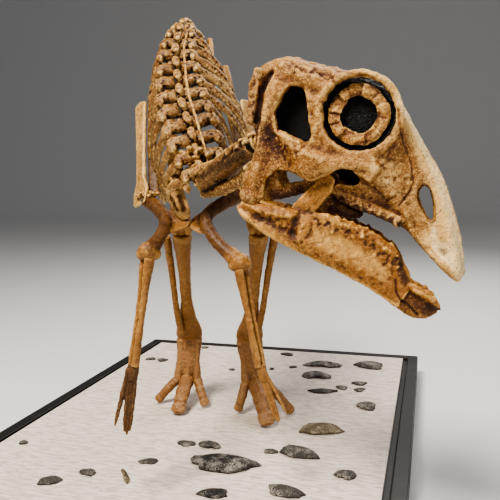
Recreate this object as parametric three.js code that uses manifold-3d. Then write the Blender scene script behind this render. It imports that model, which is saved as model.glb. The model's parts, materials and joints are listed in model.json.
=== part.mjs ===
// Mounted skeleton of a nestling duck-billed dinosaur on a display board with eggshell pieces.
// Millimetres, +Z up. The origin is the middle of the board's underside; the board's back is +Y.
// The skeleton is built in its own frame (X to its left, Y behind it) and turned on the board.
import * as THREE from 'three';
import { mergeVertices } from 'three/addons/utils/BufferGeometryUtils.js';
import Module from 'manifold-3d';

const wasm = await Module();
wasm.setup();

// ---------- driving dimensions ----------
const GAP = 0.3; // between touching pieces
const BOARD = { width: 305, depth: 457, height: 22, border: 14, recess: 3 };
const MAT = { thickness: 4, clearance: 0.5 };
const MAT_TOP = BOARD.height - BOARD.recess + MAT.thickness;
const STAND = { turn: 16.8, x: -9, y: 24 }; // where the skeleton stands on the board

const SKULL = { at: [93, -172, 241], yaw: -14, pitch: 34, orbit: 17, orbitDepth: 8.5 };
const RING = { outer: 14, inner: 8.2, wall: 2.2, dish: 1.6 };
const SPINE = {
  neck: [[43.4, -159.7, 231], [34, -146.5, 226], [22.8, -128, 218], [11.5, -108, 209]],
  back: [[11.5, -108, 208.5], [4.5, -91, 236], [-2.5, -77, 256], [-6.5, -62, 276.5],
    [-8.5, -50, 292], [-7.5, -35, 307], [-6, -17, 318]],
  sacrum: [[-6, -17, 318], [-3.5, 5, 319.5], [-1, 28, 314]],
  tail: [[-1, 28, 314], [2, 66, 303], [7, 122, 286], [13, 180, 268], [18, 235, 250]],
};
const COUNT = { neck: 8, back: 12, sacrum: 6, tail: 24, tailParts: 4, tailRibs: 9 };

const RIB = { // one value per pair, from the neck to the hips
  length: [19, 31, 44, 55, 62, 65, 63, 56, 46, 34, 20],
  halfWidth: [16.2, 18.6, 21.5, 24.5, 27.4, 29.8, 30.4, 28.9, 25.3, 20.3, 13],
  leanFront: 50, leanBack: 10, thick: 1.35, broad: 2.5,
};

const SCAPULA = { // the socket's middle and the top of the blade on each side
  right: { joint: [-32.3, -77, 202], top: [-36.1, -42, 265] },
  left: { joint: [38.2, -77, 204], top: [37.5, -42, 265] },
  width: 10, thick: 2.4,
};
const ARM = { // the humerus from its head to the elbow, the crest's corner, the wrist and the finger tips
  right: {
    humerus: [[-28, -77, 199], [-20, -91, 194], [-16, -104, 187], [-17, -117, 179], [-20.5, -127, 172]],
    corner: [-3, -99, 186], wrist: [-30, -136, 108], tips: [-35, -138, 69],
  },
  left: {
    humerus: [[35, -77, 203], [21, -88, 197], [11, -100, 189], [17.5, -113, 176.5], [32, -123, 164]],
    corner: [4.5, -97, 185], wrist: [42.5, -130, 104], tips: [50, -132, 72],
  },
};

const HIP = { half: 13, x: 1.6, y: 2, z: 294, head: 6, flare: 6.5 };
const LEG = {
  right: {
    knee: [-12, -30, 174], ankle: [-15, 30, 79], ball: [-18, 25, 41],
    toes: { outer: [-44.8, 23.4], middle: [-22.9, -3.7], inner: [-1.2, 10.1] },
  },
  left: {
    knee: [44.5, -38, 174], ankle: [36, 14, 80], ball: [41, 3, 44],
    toes: { outer: [70.6, -8.1], middle: [47.6, -28.5], inner: [24.8, -3.9] },
  },
};
const TOE_TIP = 1.1; // height of a toe's tip over the mat

// ---------- small tools ----------
const vec = (p) => new THREE.Vector3(...p);
const rad = THREE.MathUtils.degToRad;
const lerp = THREE.MathUtils.lerp;
const X_AXIS = new THREE.Vector3(1, 0, 0);
const Y_AXIS = new THREE.Vector3(0, 1, 0);
const Z_AXIS = new THREE.Vector3(0, 0, 1);

/** Turns a closed geometry into a manifold solid, its faces out even where a map mirrored it. */
function solid(geometry) {
  const bare = geometry.index ? geometry.toNonIndexed() : geometry.clone();
  bare.deleteAttribute('normal');
  bare.deleteAttribute('uv');
  const merged = mergeVertices(bare, 1e-4);
  const vertProperties = new Float32Array(merged.attributes.position.array);
  const triVerts = new Uint32Array(merged.index.array);
  const body = new wasm.Manifold(new wasm.Mesh({ numProp: 3, vertProperties, triVerts }));
  if (body.volume() > 0) return body;
  for (let i = 0; i < triVerts.length; i += 3) {
    [triVerts[i], triVerts[i + 1]] = [triVerts[i + 1], triVerts[i]];
  }
  return new wasm.Manifold(new wasm.Mesh({ numProp: 3, vertProperties, triVerts }));
}

/** Joins a list of solids. */
const join = (solids) => solids.reduce((whole, next) => whole.add(next));

/** A box that fills the side of a plane that its normal points to. */
function beyond(point, normal, size = 60) {
  const block = new THREE.BoxGeometry(size, size, size).translate(0, 0, size / 2);
  block.applyQuaternion(new THREE.Quaternion().setFromUnitVectors(Z_AXIS, normal.clone().normalize()));
  return solid(block.translate(point.x, point.y, point.z));
}

/** Cuts off what lies past a plane, holding half the gap back from it. */
function trim(body, point, normal, size = 60) {
  const unit = normal.clone().normalize();
  return body.subtract(beyond(point.clone().addScaledVector(unit, -GAP / 2), unit, size));
}

/** A ball, used for joint heads and, grown by the gap, for their sockets. */
function ball(point, radius, segments = 10) {
  return solid(new THREE.SphereGeometry(radius, segments, segments - 2).translate(...point));
}

/**
 * A bone shaft: an elliptical section carried along a smooth curve. Each row of girth is the place
 * along the curve from 0 to 1, the radius towards `side` and the radius square to it.
 */
function shaft(path, girth, side = X_AXIS, sides = 8, grow = 0) {
  const points = path.map((p) => (p.isVector3 ? p : vec(p)));
  const curve = new THREE.CatmullRomCurve3(points, false, 'centripetal');
  const tube = new THREE.CylinderGeometry(1, 1, 1, sides, girth.length - 1);
  const place = tube.attributes.position;
  for (let i = 0; i < place.count; i += 1) {
    const [t, wide, deep] = girth[Math.round((place.getY(i) + 0.5) * (girth.length - 1))];
    const along = curve.getTangentAt(t);
    const across = side.clone().addScaledVector(along, -side.dot(along)).normalize();
    const square = across.clone().cross(along);
    const point = curve.getPointAt(t)
      .addScaledVector(across, place.getX(i) * (wide + grow))
      .addScaledVector(square, place.getZ(i) * (deep + grow));
    place.setXYZ(i, point.x, point.y, point.z);
  }
  return solid(tube);
}

/** A flat bone: an outline of [along, up] points with a thickness, set in a frame of axes. */
function plate(outline, thickness, origin, along, up, bevel = 0) {
  const shape = new THREE.Shape(outline.map(([a, b]) => new THREE.Vector2(a, b)));
  const body = new THREE.ExtrudeGeometry(shape, {
    depth: thickness - 2 * bevel, bevelEnabled: bevel > 0, bevelThickness: bevel, bevelSize: bevel,
    bevelOffset: -bevel, bevelSegments: 1,
  });
  body.translate(0, 0, bevel - thickness / 2);
  const normal = along.clone().cross(up).normalize();
  const frame = new THREE.Matrix4().makeBasis(along.clone().normalize(), normal.clone().cross(along).normalize(),
    normal).setPosition(vec(origin));
  return solid(body.applyMatrix4(frame));
}

/** Stations along a stretch of the spine: centre, tangent to the tail, left and dorsal directions. */
function stations(path, count, lead) {
  const curve = new THREE.CatmullRomCurve3(path.map(vec), false, 'centripetal');
  const pitch = curve.getLength() / count;
  return Array.from({ length: count }, (_, i) => {
    const t = (i + 0.5) / count;
    const along = curve.getTangentAt(t);
    const left = lead.clone().addScaledVector(along, -lead.dot(along)).normalize();
    const dorsal = left.clone().cross(along).multiplyScalar(-1).normalize();
    return { at: curve.getPointAt(t), along, left, dorsal: dorsal.z < 0 ? dorsal.negate() : dorsal, pitch, t };
  });
}

/** A point given along the left, dorsal and tailward directions of a station. */
function off(station, left, dorsal, back = 0) {
  return station.at.clone().addScaledVector(station.left, left)
    .addScaledVector(station.dorsal, dorsal).addScaledVector(station.along, back);
}

/** The centra of a stretch of the spine as one tube, with a ring at every second of them. */
function centra(path, count, rim, lead, { sides = 6, from = 0, to = count } = {}) {
  const rings = Array.from({ length: Math.ceil((to - from) / 2) + 1 }, (_, i) => {
    const t = Math.min(to, from + 2 * i) / count;
    return [t, rim(t), rim(t)];
  });
  return shaft(path, rings, lead, sides);
}

/** A neural arch: spine and both transverse processes as one outline across the body. */
function arch(station, { span, rise, height, thick, long, tip = 1.6 }) {
  const half = [[3.2, 1], [span, rise - tip], [span, rise + tip], [thick * 1.5, 4.8], [thick, height]];
  const outline = [...half, ...half.map(([x, z]) => [-x, z]).reverse()];
  return plate(outline, long, station.at.toArray(), station.left, station.dorsal);
}

// ---------- materials ----------
const bone = new THREE.MeshStandardMaterial({ color: 0xb07f47, roughness: 0.62, metalness: 0 });
const skullBone = new THREE.MeshStandardMaterial({ color: 0xc08a4b, roughness: 0.5, metalness: 0 });
const ivory = new THREE.MeshStandardMaterial({ color: 0xc9a878, roughness: 0.55, metalness: 0 });
const darkBone = new THREE.MeshStandardMaterial({ color: 0x8a5a30, roughness: 0.6, metalness: 0 });
const blackBoard = new THREE.MeshStandardMaterial({ color: 0x1c1b1b, roughness: 0.5, metalness: 0 });
const whiteMat = new THREE.MeshStandardMaterial({ color: 0xd9d2cd, roughness: 0.9, metalness: 0 });
const shell = new THREE.MeshStandardMaterial({ color: 0x55544e, roughness: 0.7, metalness: 0 });

const object = new THREE.Group();
const skeleton = new THREE.Group();
skeleton.position.set(STAND.x, STAND.y, 0);
skeleton.rotation.z = rad(STAND.turn);
object.add(skeleton);

/** Adds a solid to a group as a named mesh. */
function addPiece(group, name, body, material) {
  const { vertProperties, triVerts } = body.getMesh();
  const geometry = new THREE.BufferGeometry();
  geometry.setAttribute('position', new THREE.BufferAttribute(new Float32Array(vertProperties), 3));
  geometry.setIndex(new THREE.BufferAttribute(new Uint32Array(triVerts), 1));
  geometry.computeVertexNormals();
  const mesh = new THREE.Mesh(geometry, material);
  mesh.name = name;
  group.add(mesh);
}

// ---------- board and mat ----------
function makeBase() {
  const { width, depth, height, border, recess } = BOARD;
  const block = solid(new THREE.BoxGeometry(width, depth, height).translate(0, 0, height / 2));
  const well = solid(new THREE.BoxGeometry(width - 2 * border, depth - 2 * border, 2 * recess)
    .translate(0, 0, height));
  addPiece(object, 'base_board', block.subtract(well), blackBoard);
  const mat = new THREE.BoxGeometry(width - 2 * border - 2 * MAT.clearance,
    depth - 2 * border - 2 * MAT.clearance, MAT.thickness);
  addPiece(object, 'mat', solid(mat.translate(0, 0, MAT_TOP - MAT.thickness / 2)), whiteMat);
}

// ---------- skull and lower jaw ----------
// The skull's frame: X to the snout, Y to its left, Z up from the middle of the orbits.
const skullFrame = new THREE.Matrix4().makeRotationFromEuler(
  new THREE.Euler(0, rad(SKULL.pitch), rad(SKULL.yaw), 'ZYX')).setPosition(vec(SKULL.at));
const inSkull = (x, y, z) => new THREE.Vector3(x, y, z).applyMatrix4(skullFrame);
const skullAxis = (x, y, z) => new THREE.Vector3(x, y, z).transformDirection(skullFrame);

/** A side-view outline carried across part of the skull's width, from y0 to y1. */
function sideSlab(outline, y0, y1) {
  const shape = new THREE.Shape(outline.map(([x, z]) => new THREE.Vector2(x, z)));
  const slab = new THREE.ExtrudeGeometry(shape, { depth: y1 - y0, bevelEnabled: false });
  slab.rotateX(Math.PI / 2).translate(0, y1, 0);
  return solid(slab.applyMatrix4(skullFrame));
}

const CRANIUM = [ // x, top, bottom, half width of roof, of cheek and of lower edge
  [-54.5, -7, -16, 7, 11, 8], [-51, 1.5, -22, 10, 16, 11], [-45, 6, -29, 13, 18.5, 13],
  [-34, 8.5, -34, 14, 20, 15], [-22, 13, -35, 14.5, 21, 15], [-10, 19, -36, 15, 21.8, 14],
  [2, 20, -37, 15, 21.5, 13], [14, 15.5, -38.5, 12.5, 18.5, 12], [24, 10, -36.5, 9, 14, 10.5],
  [36, 4, -33.2, 6.5, 9.8, 8.5], [50, -4.2, -33, 5.2, 7.6, 7.5], [64, -16.5, -37, 5.4, 8.4, 8.6],
  [75, -26.5, -39.6, 5.2, 8.6, 8.8], [82.5, -34.5, -40.5, 3.2, 5.2, 5],
];

/** The closed skull body: one ring of points for each station of its length. */
function cranium() {
  const last = CRANIUM.length - 1;
  const sides = 10;
  const tube = new THREE.CylinderGeometry(1, 1, 1, sides, last);
  const place = tube.attributes.position;
  for (let i = 0; i < place.count; i += 1) {
    const [x, top, bottom, roof, cheek, sole] = CRANIUM[Math.round((place.getY(i) + 0.5) * last)];
    const radius = Math.min(1, Math.hypot(place.getX(i), place.getZ(i)));
    const turn = Math.atan2(place.getX(i), place.getZ(i));
    const up = Math.cos(turn);
    const width = up > 0 ? lerp(cheek, roof, up ** 2) : lerp(cheek, sole, up ** 2);
    const y = radius * width * Math.sign(Math.sin(turn)) * Math.abs(Math.sin(turn)) ** 0.6;
    const z = (top + bottom) / 2 + radius * ((top - bottom) / 2) * Math.sign(up) * Math.abs(up) ** 0.75;
    place.setXYZ(i, x, y, z);
  }
  return solid(tube.applyMatrix4(skullFrame));
}

const CHEEK_OUTLINE = [ // quadrate, jugal and their meeting with the upper jaw
  [-46, -8], [-48, -14], [-42.5, -27], [-33, -41], [-30, -50], [-28, -59], [-23, -64.5], [-17.5, -62],
  [-16.5, -56], [-20.5, -48], [-18.5, -42], [-11.5, -38.5], [-3, -38.5], [2.5, -34], [5.5, -25.5],
  [13.5, -24], [23, -27], [22, -14], [0, -8], [-25, -4],
];
const CHEEK_GAP = [[-16, -80], [-16, -40], [-3, -36], [-1, -26.5], [13, -25.5], [15, -31], [16, -44], [17, -80]];
const PALATE_HOLLOW = [[-44, -60], [-43, -28], [-20, -24], [8, -29], [12, -60]];
const TEMPLE_OUTLINE = [[-34.5, -5.5], [-28.5, -3], [-24, -7], [-18, -14.5], [-12.2, -19.5], [-12, -23],
  [-29, -25.5], [-34, -19.5], [-35.2, -11]];
const NARIS_OUTLINE = [[42.2, -10.2], [46.5, -10.4], [52, -15.5], [57.6, -23.2], [54.5, -22.8], [48.5, -19.5],
  [43.8, -15.8]];
const OCCIPUT = { at: [-36.5, 0, -36.5], radius: 4 }; // the ball that the neck turns on
const JAW_SOCKET = [[-34, -50], [-29.5, -61], [-23, -65], [-16.5, -62.5], [-14, -50]]; // round the quadrate's foot

/** The y limits, low first, of what lies between two distances from the mid-plane on one side. */
const flank = (side, near, far) => [side * near, side * far].sort((a, b) => a - b);

function makeSkull() {
  let body = cranium();
  for (const side of [-1, 1]) {
    body = body.subtract(sideSlab(CHEEK_GAP, ...flank(side, 9.5, 40)));
    body = body.add(sideSlab(CHEEK_OUTLINE, ...flank(side, 14.8, 20.5)));
    const well = new THREE.CylinderGeometry(SKULL.orbit, SKULL.orbit * 0.9, 40, 14)
      .rotateZ(side < 0 ? 0 : Math.PI).translate(0, side * (22 - SKULL.orbitDepth + 20), 0);
    body = body.subtract(solid(well.applyMatrix4(skullFrame)));
    body = body.subtract(sideSlab(TEMPLE_OUTLINE, ...flank(side, 15.5, 40)));
  }
  body = body.subtract(sideSlab(NARIS_OUTLINE, -20, 20));
  body = body.subtract(sideSlab(PALATE_HOLLOW, -11.5, 11.5));
  const { at, radius } = OCCIPUT;
  const stem = shaft([inSkull(at[0] + 1.5, 0, -18), inSkull(...at)], [[0, 4, 4], [1, 2.4, 2.4]],
    skullAxis(0, 1, 0), 6);
  body = body.add(stem).add(ball(inSkull(...at).toArray(), radius, 8));
  addPiece(skeleton, 'skull', body, skullBone);
}

/** The ring of overlapping plates that stands in an orbit. */
function makeScleralRing(name, side) {
  const { outer, inner, wall, dish } = RING;
  const profile = [[inner, -wall / 2], [outer, -wall / 2 - dish], [outer, wall / 2 - dish], [inner + 1, wall / 2],
    [inner, wall / 2], [inner, -wall / 2]].map(([r, h]) => new THREE.Vector2(r, h));
  const ring = new THREE.LatheGeometry(profile, 12);
  const floor = 22 - SKULL.orbitDepth;
  ring.rotateX(side < 0 ? Math.PI : 0).translate(0, side * (floor + GAP + dish + wall / 2), 0);
  addPiece(skeleton, name, solid(ring.applyMatrix4(skullFrame)), ivory);
}

const RAMUS = [ // x, lower edge, upper edge, middle of the wall from the mid-plane, half thickness
  [-25, -68, -65.5, 17, 2.2], [-19, -70.5, -61.5, 17, 3.2], [-4, -70.8, -57, 16.4, 3.4], [8, -69.5, -49, 15, 3.4],
  [20, -68, -44.5, 13, 3.3], [36, -66.3, -41.6, 10.5, 3], [50, -65.2, -42.4, 8.2, 2.8], [64, -66, -51, 5.6, 2.6],
  [69, -66.3, -55, 4.6, 2.4],
];
const CORONOID = [[-1, -56], [3.6, -44], [1.5, -34], [3.6, -29.5], [8.4, -31], [10, -42], [13, -50]];

/** One half of the lower jaw, from the jaw joint to the predentary. */
function makeDentary(name, side) {
  const last = RAMUS.length - 1;
  const tube = new THREE.CylinderGeometry(1, 1, 1, 6, last);
  const place = tube.attributes.position;
  for (let i = 0; i < place.count; i += 1) {
    const [x, low, high, out, half] = RAMUS[Math.round((place.getY(i) + 0.5) * last)];
    const lift = place.getX(i);
    const y = out + (lift < 0 ? 1 - 0.25 * lift : 1) * half * place.getZ(i) - 1.4 * lift;
    place.setXYZ(i, x, side * y, (low + high) / 2 + lift * ((high - low) / 2));
  }
  let body = solid(tube.applyMatrix4(skullFrame));
  body = body.add(sideSlab(CORONOID, ...flank(side, 11.6, 14.4)));
  body = body.subtract(sideSlab(JAW_SOCKET, ...flank(side, 14, 40)));
  body = trim(body, inSkull(0, 0, 0), skullAxis(0, -side, 0), 300);
  body = trim(body, inSkull(67, 0, -60), skullAxis(1, 0, 0.12), 60);
  addPiece(skeleton, name, body, bone);
}

/** The scoop-shaped bone at the front of the lower jaw. */
function makePredentary() {
  const outer = shaft([inSkull(62, 0, -62), inSkull(72, 0, -62), inSkull(80, 0, -58.5), inSkull(84.5, 0, -55.5)],
    [[0, 7.2, 5.4], [0.3, 8.6, 6.2], [0.7, 8.6, 5], [1, 4, 1.6]], skullAxis(0, 1, 0), 8);
  const scoop = shaft([inSkull(58, 0, -55), inSkull(74, 0, -55.5), inSkull(88, 0, -50)],
    [[0, 5.4, 6], [0.5, 6.4, 5.6], [1, 5, 3]], skullAxis(0, 1, 0), 6);
  const body = trim(outer.subtract(scoop), inSkull(67, 0, -60), skullAxis(-1, 0, -0.12), 60);
  addPiece(skeleton, 'predentary', body, bone);
}

// ---------- neck, back, ribs, hips and tail ----------
function makeNeck() {
  const all = stations(SPINE.neck, COUNT.neck, X_AXIS.clone().add(new THREE.Vector3(0, 0.35, 0)));
  const half = Math.ceil(COUNT.neck / 2);
  const occiput = inSkull(...OCCIPUT.at);
  const cut = all[half - 1].at.clone().add(all[half].at).multiplyScalar(0.5);
  const groups = [['neck_front', all.slice(0, half)], ['neck_rear', all.slice(half)]];
  for (const [name, list] of groups) {
    const bones = list.map((s) => arch(s, { span: 9.5, rise: 1.5, height: 9.5, thick: 1.8, long: s.pitch * 0.7 }));
    if (name === 'neck_rear') { // the rods of the last neck ribs
      const s = list[list.length - 1];
      bones.push(...[-1, 1].map((side) => shaft([off(s, side * 5, -1), off(s, side * 13, -3, 9)],
        [[0, 1.5, 1.5], [1, 0.8, 0.8]], s.left, 4)));
    }
    const from = name === 'neck_front' ? 0 : half;
    bones.push(centra(SPINE.neck, COUNT.neck, (t) => lerp(6, 6.6, t), list[0].left,
      { from, to: from + list.length }));
    let body = join(bones);
    if (name === 'neck_front') {
      body = trim(body, occiput, all[0].along.clone().negate(), 60)
        .subtract(ball(occiput.toArray(), OCCIPUT.radius + GAP, 8));
      body = trim(body, cut, all[half].along, 60);
    } else {
      body = trim(body, cut, all[half].along.clone().negate(), 60);
      body = trim(body, vec(SPINE.back[0]), neckTurn(), 60);
    }
    addPiece(skeleton, name, largest(body), bone);
  }
}

/** The direction, towards the tail, of the plane between the neck and the back. */
function neckTurn() {
  const into = vec(SPINE.back[0]).sub(vec(SPINE.neck[2])).normalize();
  const out = vec(SPINE.back[1]).sub(vec(SPINE.back[0])).normalize();
  return into.add(out).normalize();
}

/** Where the middle of the rib cage lies, from the left-right place of the leaning trunk. */
const cageMiddle = (z) => 1.5 - Math.max(0, z - 250) * 0.13;

/** A rib: from its process tip out over the flank and down, leaning back. */
function rib(station, index, side, span) {
  const share = index / (RIB.length.length - 1);
  const lean = rad(lerp(RIB.leanFront, RIB.leanBack, share));
  const down = new THREE.Vector3(0, Math.sin(lean), -Math.cos(lean));
  const root = off(station, side * (span - 2.2), 6);
  const reach = [[0.14, 0.66], [0.4, 1], [0.7, 0.98], [1, 0.74]];
  const start = Math.abs(root.x - cageMiddle(root.z));
  const points = [root, ...reach.map(([drop, out]) => {
    const point = root.clone().addScaledVector(down, drop * RIB.length[index]);
    const width = Math.max(RIB.halfWidth[index], start + 2);
    point.x = cageMiddle(point.z) + side * lerp(start, width, out);
    return point;
  })];
  const { broad, thick } = RIB;
  return shaft(points, [[0, broad, thick * 1.3], [0.25, broad, thick], [0.6, broad, thick],
    [1, broad * 0.6, thick * 0.7]], station.along, 4);
}

const SPAN = [13.2, 15.5, 17.4, 18.3, 18.1, 17.5, 16.4, 15.2, 13.9, 12.1, 10, 8.1]; // of the transverse processes

const PARTING = 2.9; // from the middle to the sheet between the cage's two sides

function makeRibCage() {
  const all = stations(SPINE.back, COUNT.back, X_AXIS);
  const bones = all.flatMap((s, i) => {
    const body = arch(s, { span: SPAN[i], rise: 6, height: 11, thick: 2.3, long: s.pitch * 0.6, tip: 2.3 });
    return i < RIB.length.length ? [body, rib(s, i, -1, SPAN[i]), rib(s, i, 1, SPAN[i])] : [body];
  });
  bones.push(centra(SPINE.back, COUNT.back, () => 5, X_AXIS));
  let body = join(bones);
  body = trim(body, vec(SPINE.back[0]), neckTurn().negate(), 40);
  body = trim(body, vec(SPINE.sacrum[0]), hipTurn(), 60);
  // A thin upright sheet beside the neural spines parts the cage into its two sides.
  const lead = all.map((s) => off(s, PARTING, 2));
  const first = all[0];
  const last = all[all.length - 1];
  const line = [off(first, PARTING, 2, -20), ...lead.filter((_, i) => i % 3 === 1), off(last, PARTING, 2, 20)];
  const sheet = shaft(line, line.map((_, i) => [i / (line.length - 1), GAP * 0.72, 60]), X_AXIS, 4);
  const halves = body.subtract(sheet).decompose()
    .sort((a, b) => b.volume() - a.volume()).slice(0, 2)
    .map((half) => ({ half, x: middleX(half) })).sort((a, b) => a.x - b.x);
  addPiece(skeleton, 'ribcage_right', halves[0].half, bone);
  addPiece(skeleton, 'ribcage_left', halves[1].half, bone);
}

/** The left-right middle of a solid's box. */
function middleX(body) {
  const box = body.boundingBox();
  return (box.min[0] + box.max[0]) / 2;
}

const hipTurn = () => vec(SPINE.sacrum[1]).sub(vec(SPINE.back[5])).normalize();
const tailTurn = () => vec(SPINE.tail[1]).sub(vec(SPINE.sacrum[1])).normalize();

function makeSacrum() {
  const all = stations(SPINE.sacrum, COUNT.sacrum, X_AXIS);
  const bones = all.map((s) => arch(s, { span: 11, rise: 1.5, height: 11.5, thick: 1.9, long: s.pitch * 0.62 }));
  bones.push(centra(SPINE.sacrum, COUNT.sacrum, () => 5.3, X_AXIS));
  let body = join(bones);
  body = trim(body, vec(SPINE.sacrum[0]), hipTurn().negate(), 60);
  body = trim(body, vec(SPINE.tail[0]), tailTurn(), 60);
  for (const side of [-1, 1]) {
    const wall = new THREE.Vector3(HIP.x - 3.5 + side * (HIP.half - 2.85), HIP.y, 0);
    body = trim(body, wall, new THREE.Vector3(side * Math.cos(rad(HIP.flare)), Math.sin(rad(HIP.flare)), 0), 800);
  }
  addPiece(skeleton, 'sacrum', body, bone);
}

const ILIUM_OUTLINE = [[-31, 5], [-25, 13], [-14, 22], [2, 25], [16, 23], [34, 15], [36, 8], [22, 3], [13, -2], [9, -9],
  [3, -6], [-5, -6], [-10, -10], [-14, -3], [-20, 3], [-29, 0]];
const PUBIS_OUTLINE = [[-3, 6], [-14, 6], [-20, 4], [-28, 5], [-32, 2], [-31, -7], [-25, -9], [-20, -5], [-14, -4],
  [-7, -5], [4, -14], [6, -12], [-2, -2]];
const ISCHIUM_OUTLINE = [[3, 4], [9, 3], [16, -1], [40, -10], [66, -20], [74, -25], [73, -30], [64, -26], [38, -15],
  [16, -7], [10, -9], [4, -6]];

function makePelvis(word, side) {
  const x = HIP.x - 3.5 + side * (HIP.half - 1.1);
  const socket = ball([x + side * 4.5, HIP.y, HIP.z], HIP.head + GAP, 8);
  const at = [x, HIP.y, HIP.z];
  const flare = new THREE.Vector3(-side * Math.sin(rad(HIP.flare)), Math.cos(rad(HIP.flare)), 0);
  let ilium = plate(ILIUM_OUTLINE, 3.2, at, flare, Z_AXIS).subtract(socket);
  ilium = trim(ilium, vec([0, HIP.y, HIP.z - 3.5]), Z_AXIS.clone().negate(), 300);
  addPiece(skeleton, `ilium_${word}`, ilium, bone);
  const lower = vec([0, HIP.y, HIP.z - 3.5]);
  const middle = vec([0, HIP.y + 1, HIP.z]);
  let pubis = plate(PUBIS_OUTLINE, 3.2, [x, HIP.y, HIP.z - 8], flare, Z_AXIS).subtract(socket);
  pubis = trim(pubis, lower, Z_AXIS, 300);
  pubis = trim(pubis, middle, Y_AXIS, 300);
  addPiece(skeleton, `pubis_${word}`, pubis, bone);
  let ischium = plate(ISCHIUM_OUTLINE, 3.2, [x, HIP.y + 3, HIP.z - 7], Y_AXIS, Z_AXIS).subtract(socket);
  ischium = trim(ischium, lower, Z_AXIS, 300);
  ischium = trim(ischium, middle, Y_AXIS.clone().negate(), 300);
  addPiece(skeleton, `ischium_${word}`, ischium, bone);
}

function makeTail() {
  const all = stations(SPINE.tail, COUNT.tail, X_AXIS);
  const share = COUNT.tail / COUNT.tailParts;
  const girth = (t) => lerp(5.2, 1.5, t ** 0.8);
  for (let part = 0; part < COUNT.tailParts; part += 1) {
    const list = all.slice(part * share, (part + 1) * share);
    const bones = list.flatMap((s, i) => {
      const size = girth(s.t);
      const order = part * share + i;
      const rise = lerp(15, 2.6, s.t ** 0.6);
      const drop = order > 0 ? lerp(17, 2.6, s.t ** 0.7) : 3;
      const half = Math.max(1, size * 0.32); // half length of the spine and of the chevron under it
      const pieces = [plate([[drop * 0.55 - half, -drop], [drop * 0.55 + half, -drop], [half * 1.4, 0],
        [size * 0.9 + half, rise], [size * 0.9 - half, rise], [-half * 1.4, 0]],
      1.6, s.at.toArray(), s.along, s.dorsal)];
      if (order < COUNT.tailRibs) {
        const span = Math.min(lerp(15, 5, order / COUNT.tailRibs), 5 + order * 5);
        pieces.push(plate([[-span, -0.9], [span, -0.9], [span, 0.9], [-span, 0.9]],
          1.8, s.at.toArray(), s.left, s.along));
      }
      return pieces;
    });
    bones.push(centra(SPINE.tail, COUNT.tail, girth, X_AXIS,
      { sides: 5, from: part * share, to: (part + 1) * share }));
    let body = join(bones);
    const front = part === 0 ? vec(SPINE.tail[0]) : between(all, part * share);
    body = trim(body, front, part === 0 ? tailTurn().negate() : all[part * share].along.clone().negate(), 60);
    if (part < COUNT.tailParts - 1) {
      body = trim(body, between(all, (part + 1) * share), all[(part + 1) * share].along, 60);
    }
    addPiece(skeleton, `tail_${part + 1}`, body, bone);
  }
}

/** The point halfway between two neighbouring stations. */
const between = (list, i) => list[i - 1].at.clone().add(list[i].at).multiplyScalar(0.5);

// ---------- shoulders and arms ----------
/** The shoulder blade with its socket, lying against the front of the ribs. */
function makeShoulder(word, side) {
  const joint = vec(SCAPULA[word].joint);
  const along = vec(SCAPULA[word].top).sub(joint);
  const length = along.length();
  const w = SCAPULA.width / 2;
  const outline = [[-5, -7], [3, -7], [12, -w * 0.8], [length * 0.5, -w * 0.85], [length, -w * 1.15],
    [length + 2, 0], [length, w * 1.1], [length * 0.5, w * 0.75], [14, w * 0.8], [4, 7], [-6, 5]];
  const blade = plate(outline, SCAPULA.thick, joint.toArray(), along, new THREE.Vector3(-side * 0.7, -0.7, 0.05));
  addPiece(skeleton, `scapula_${word}`, largest(blade.subtract(humerusShaft(word, side, GAP))), ivory);
}

/** The humerus from its head to the elbow, without its crest. */
function humerusShaft(word, side, grow = 0) {
  const path = ARM[word].humerus;
  return shaft(path, [[0, 3.4, 3.4], [0.12, 4.8, 4.4], [0.4, 4, 4], [0.64, 3.8, 3.4], [0.82, 4.4, 3.8],
    [0.94, 6.4, 5.2], [1, 6.8, 5.4]], X_AXIS.clone().multiplyScalar(-side), 7, grow)
    .add(ball(path[0], 5.2 + grow, 7));
}

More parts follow.
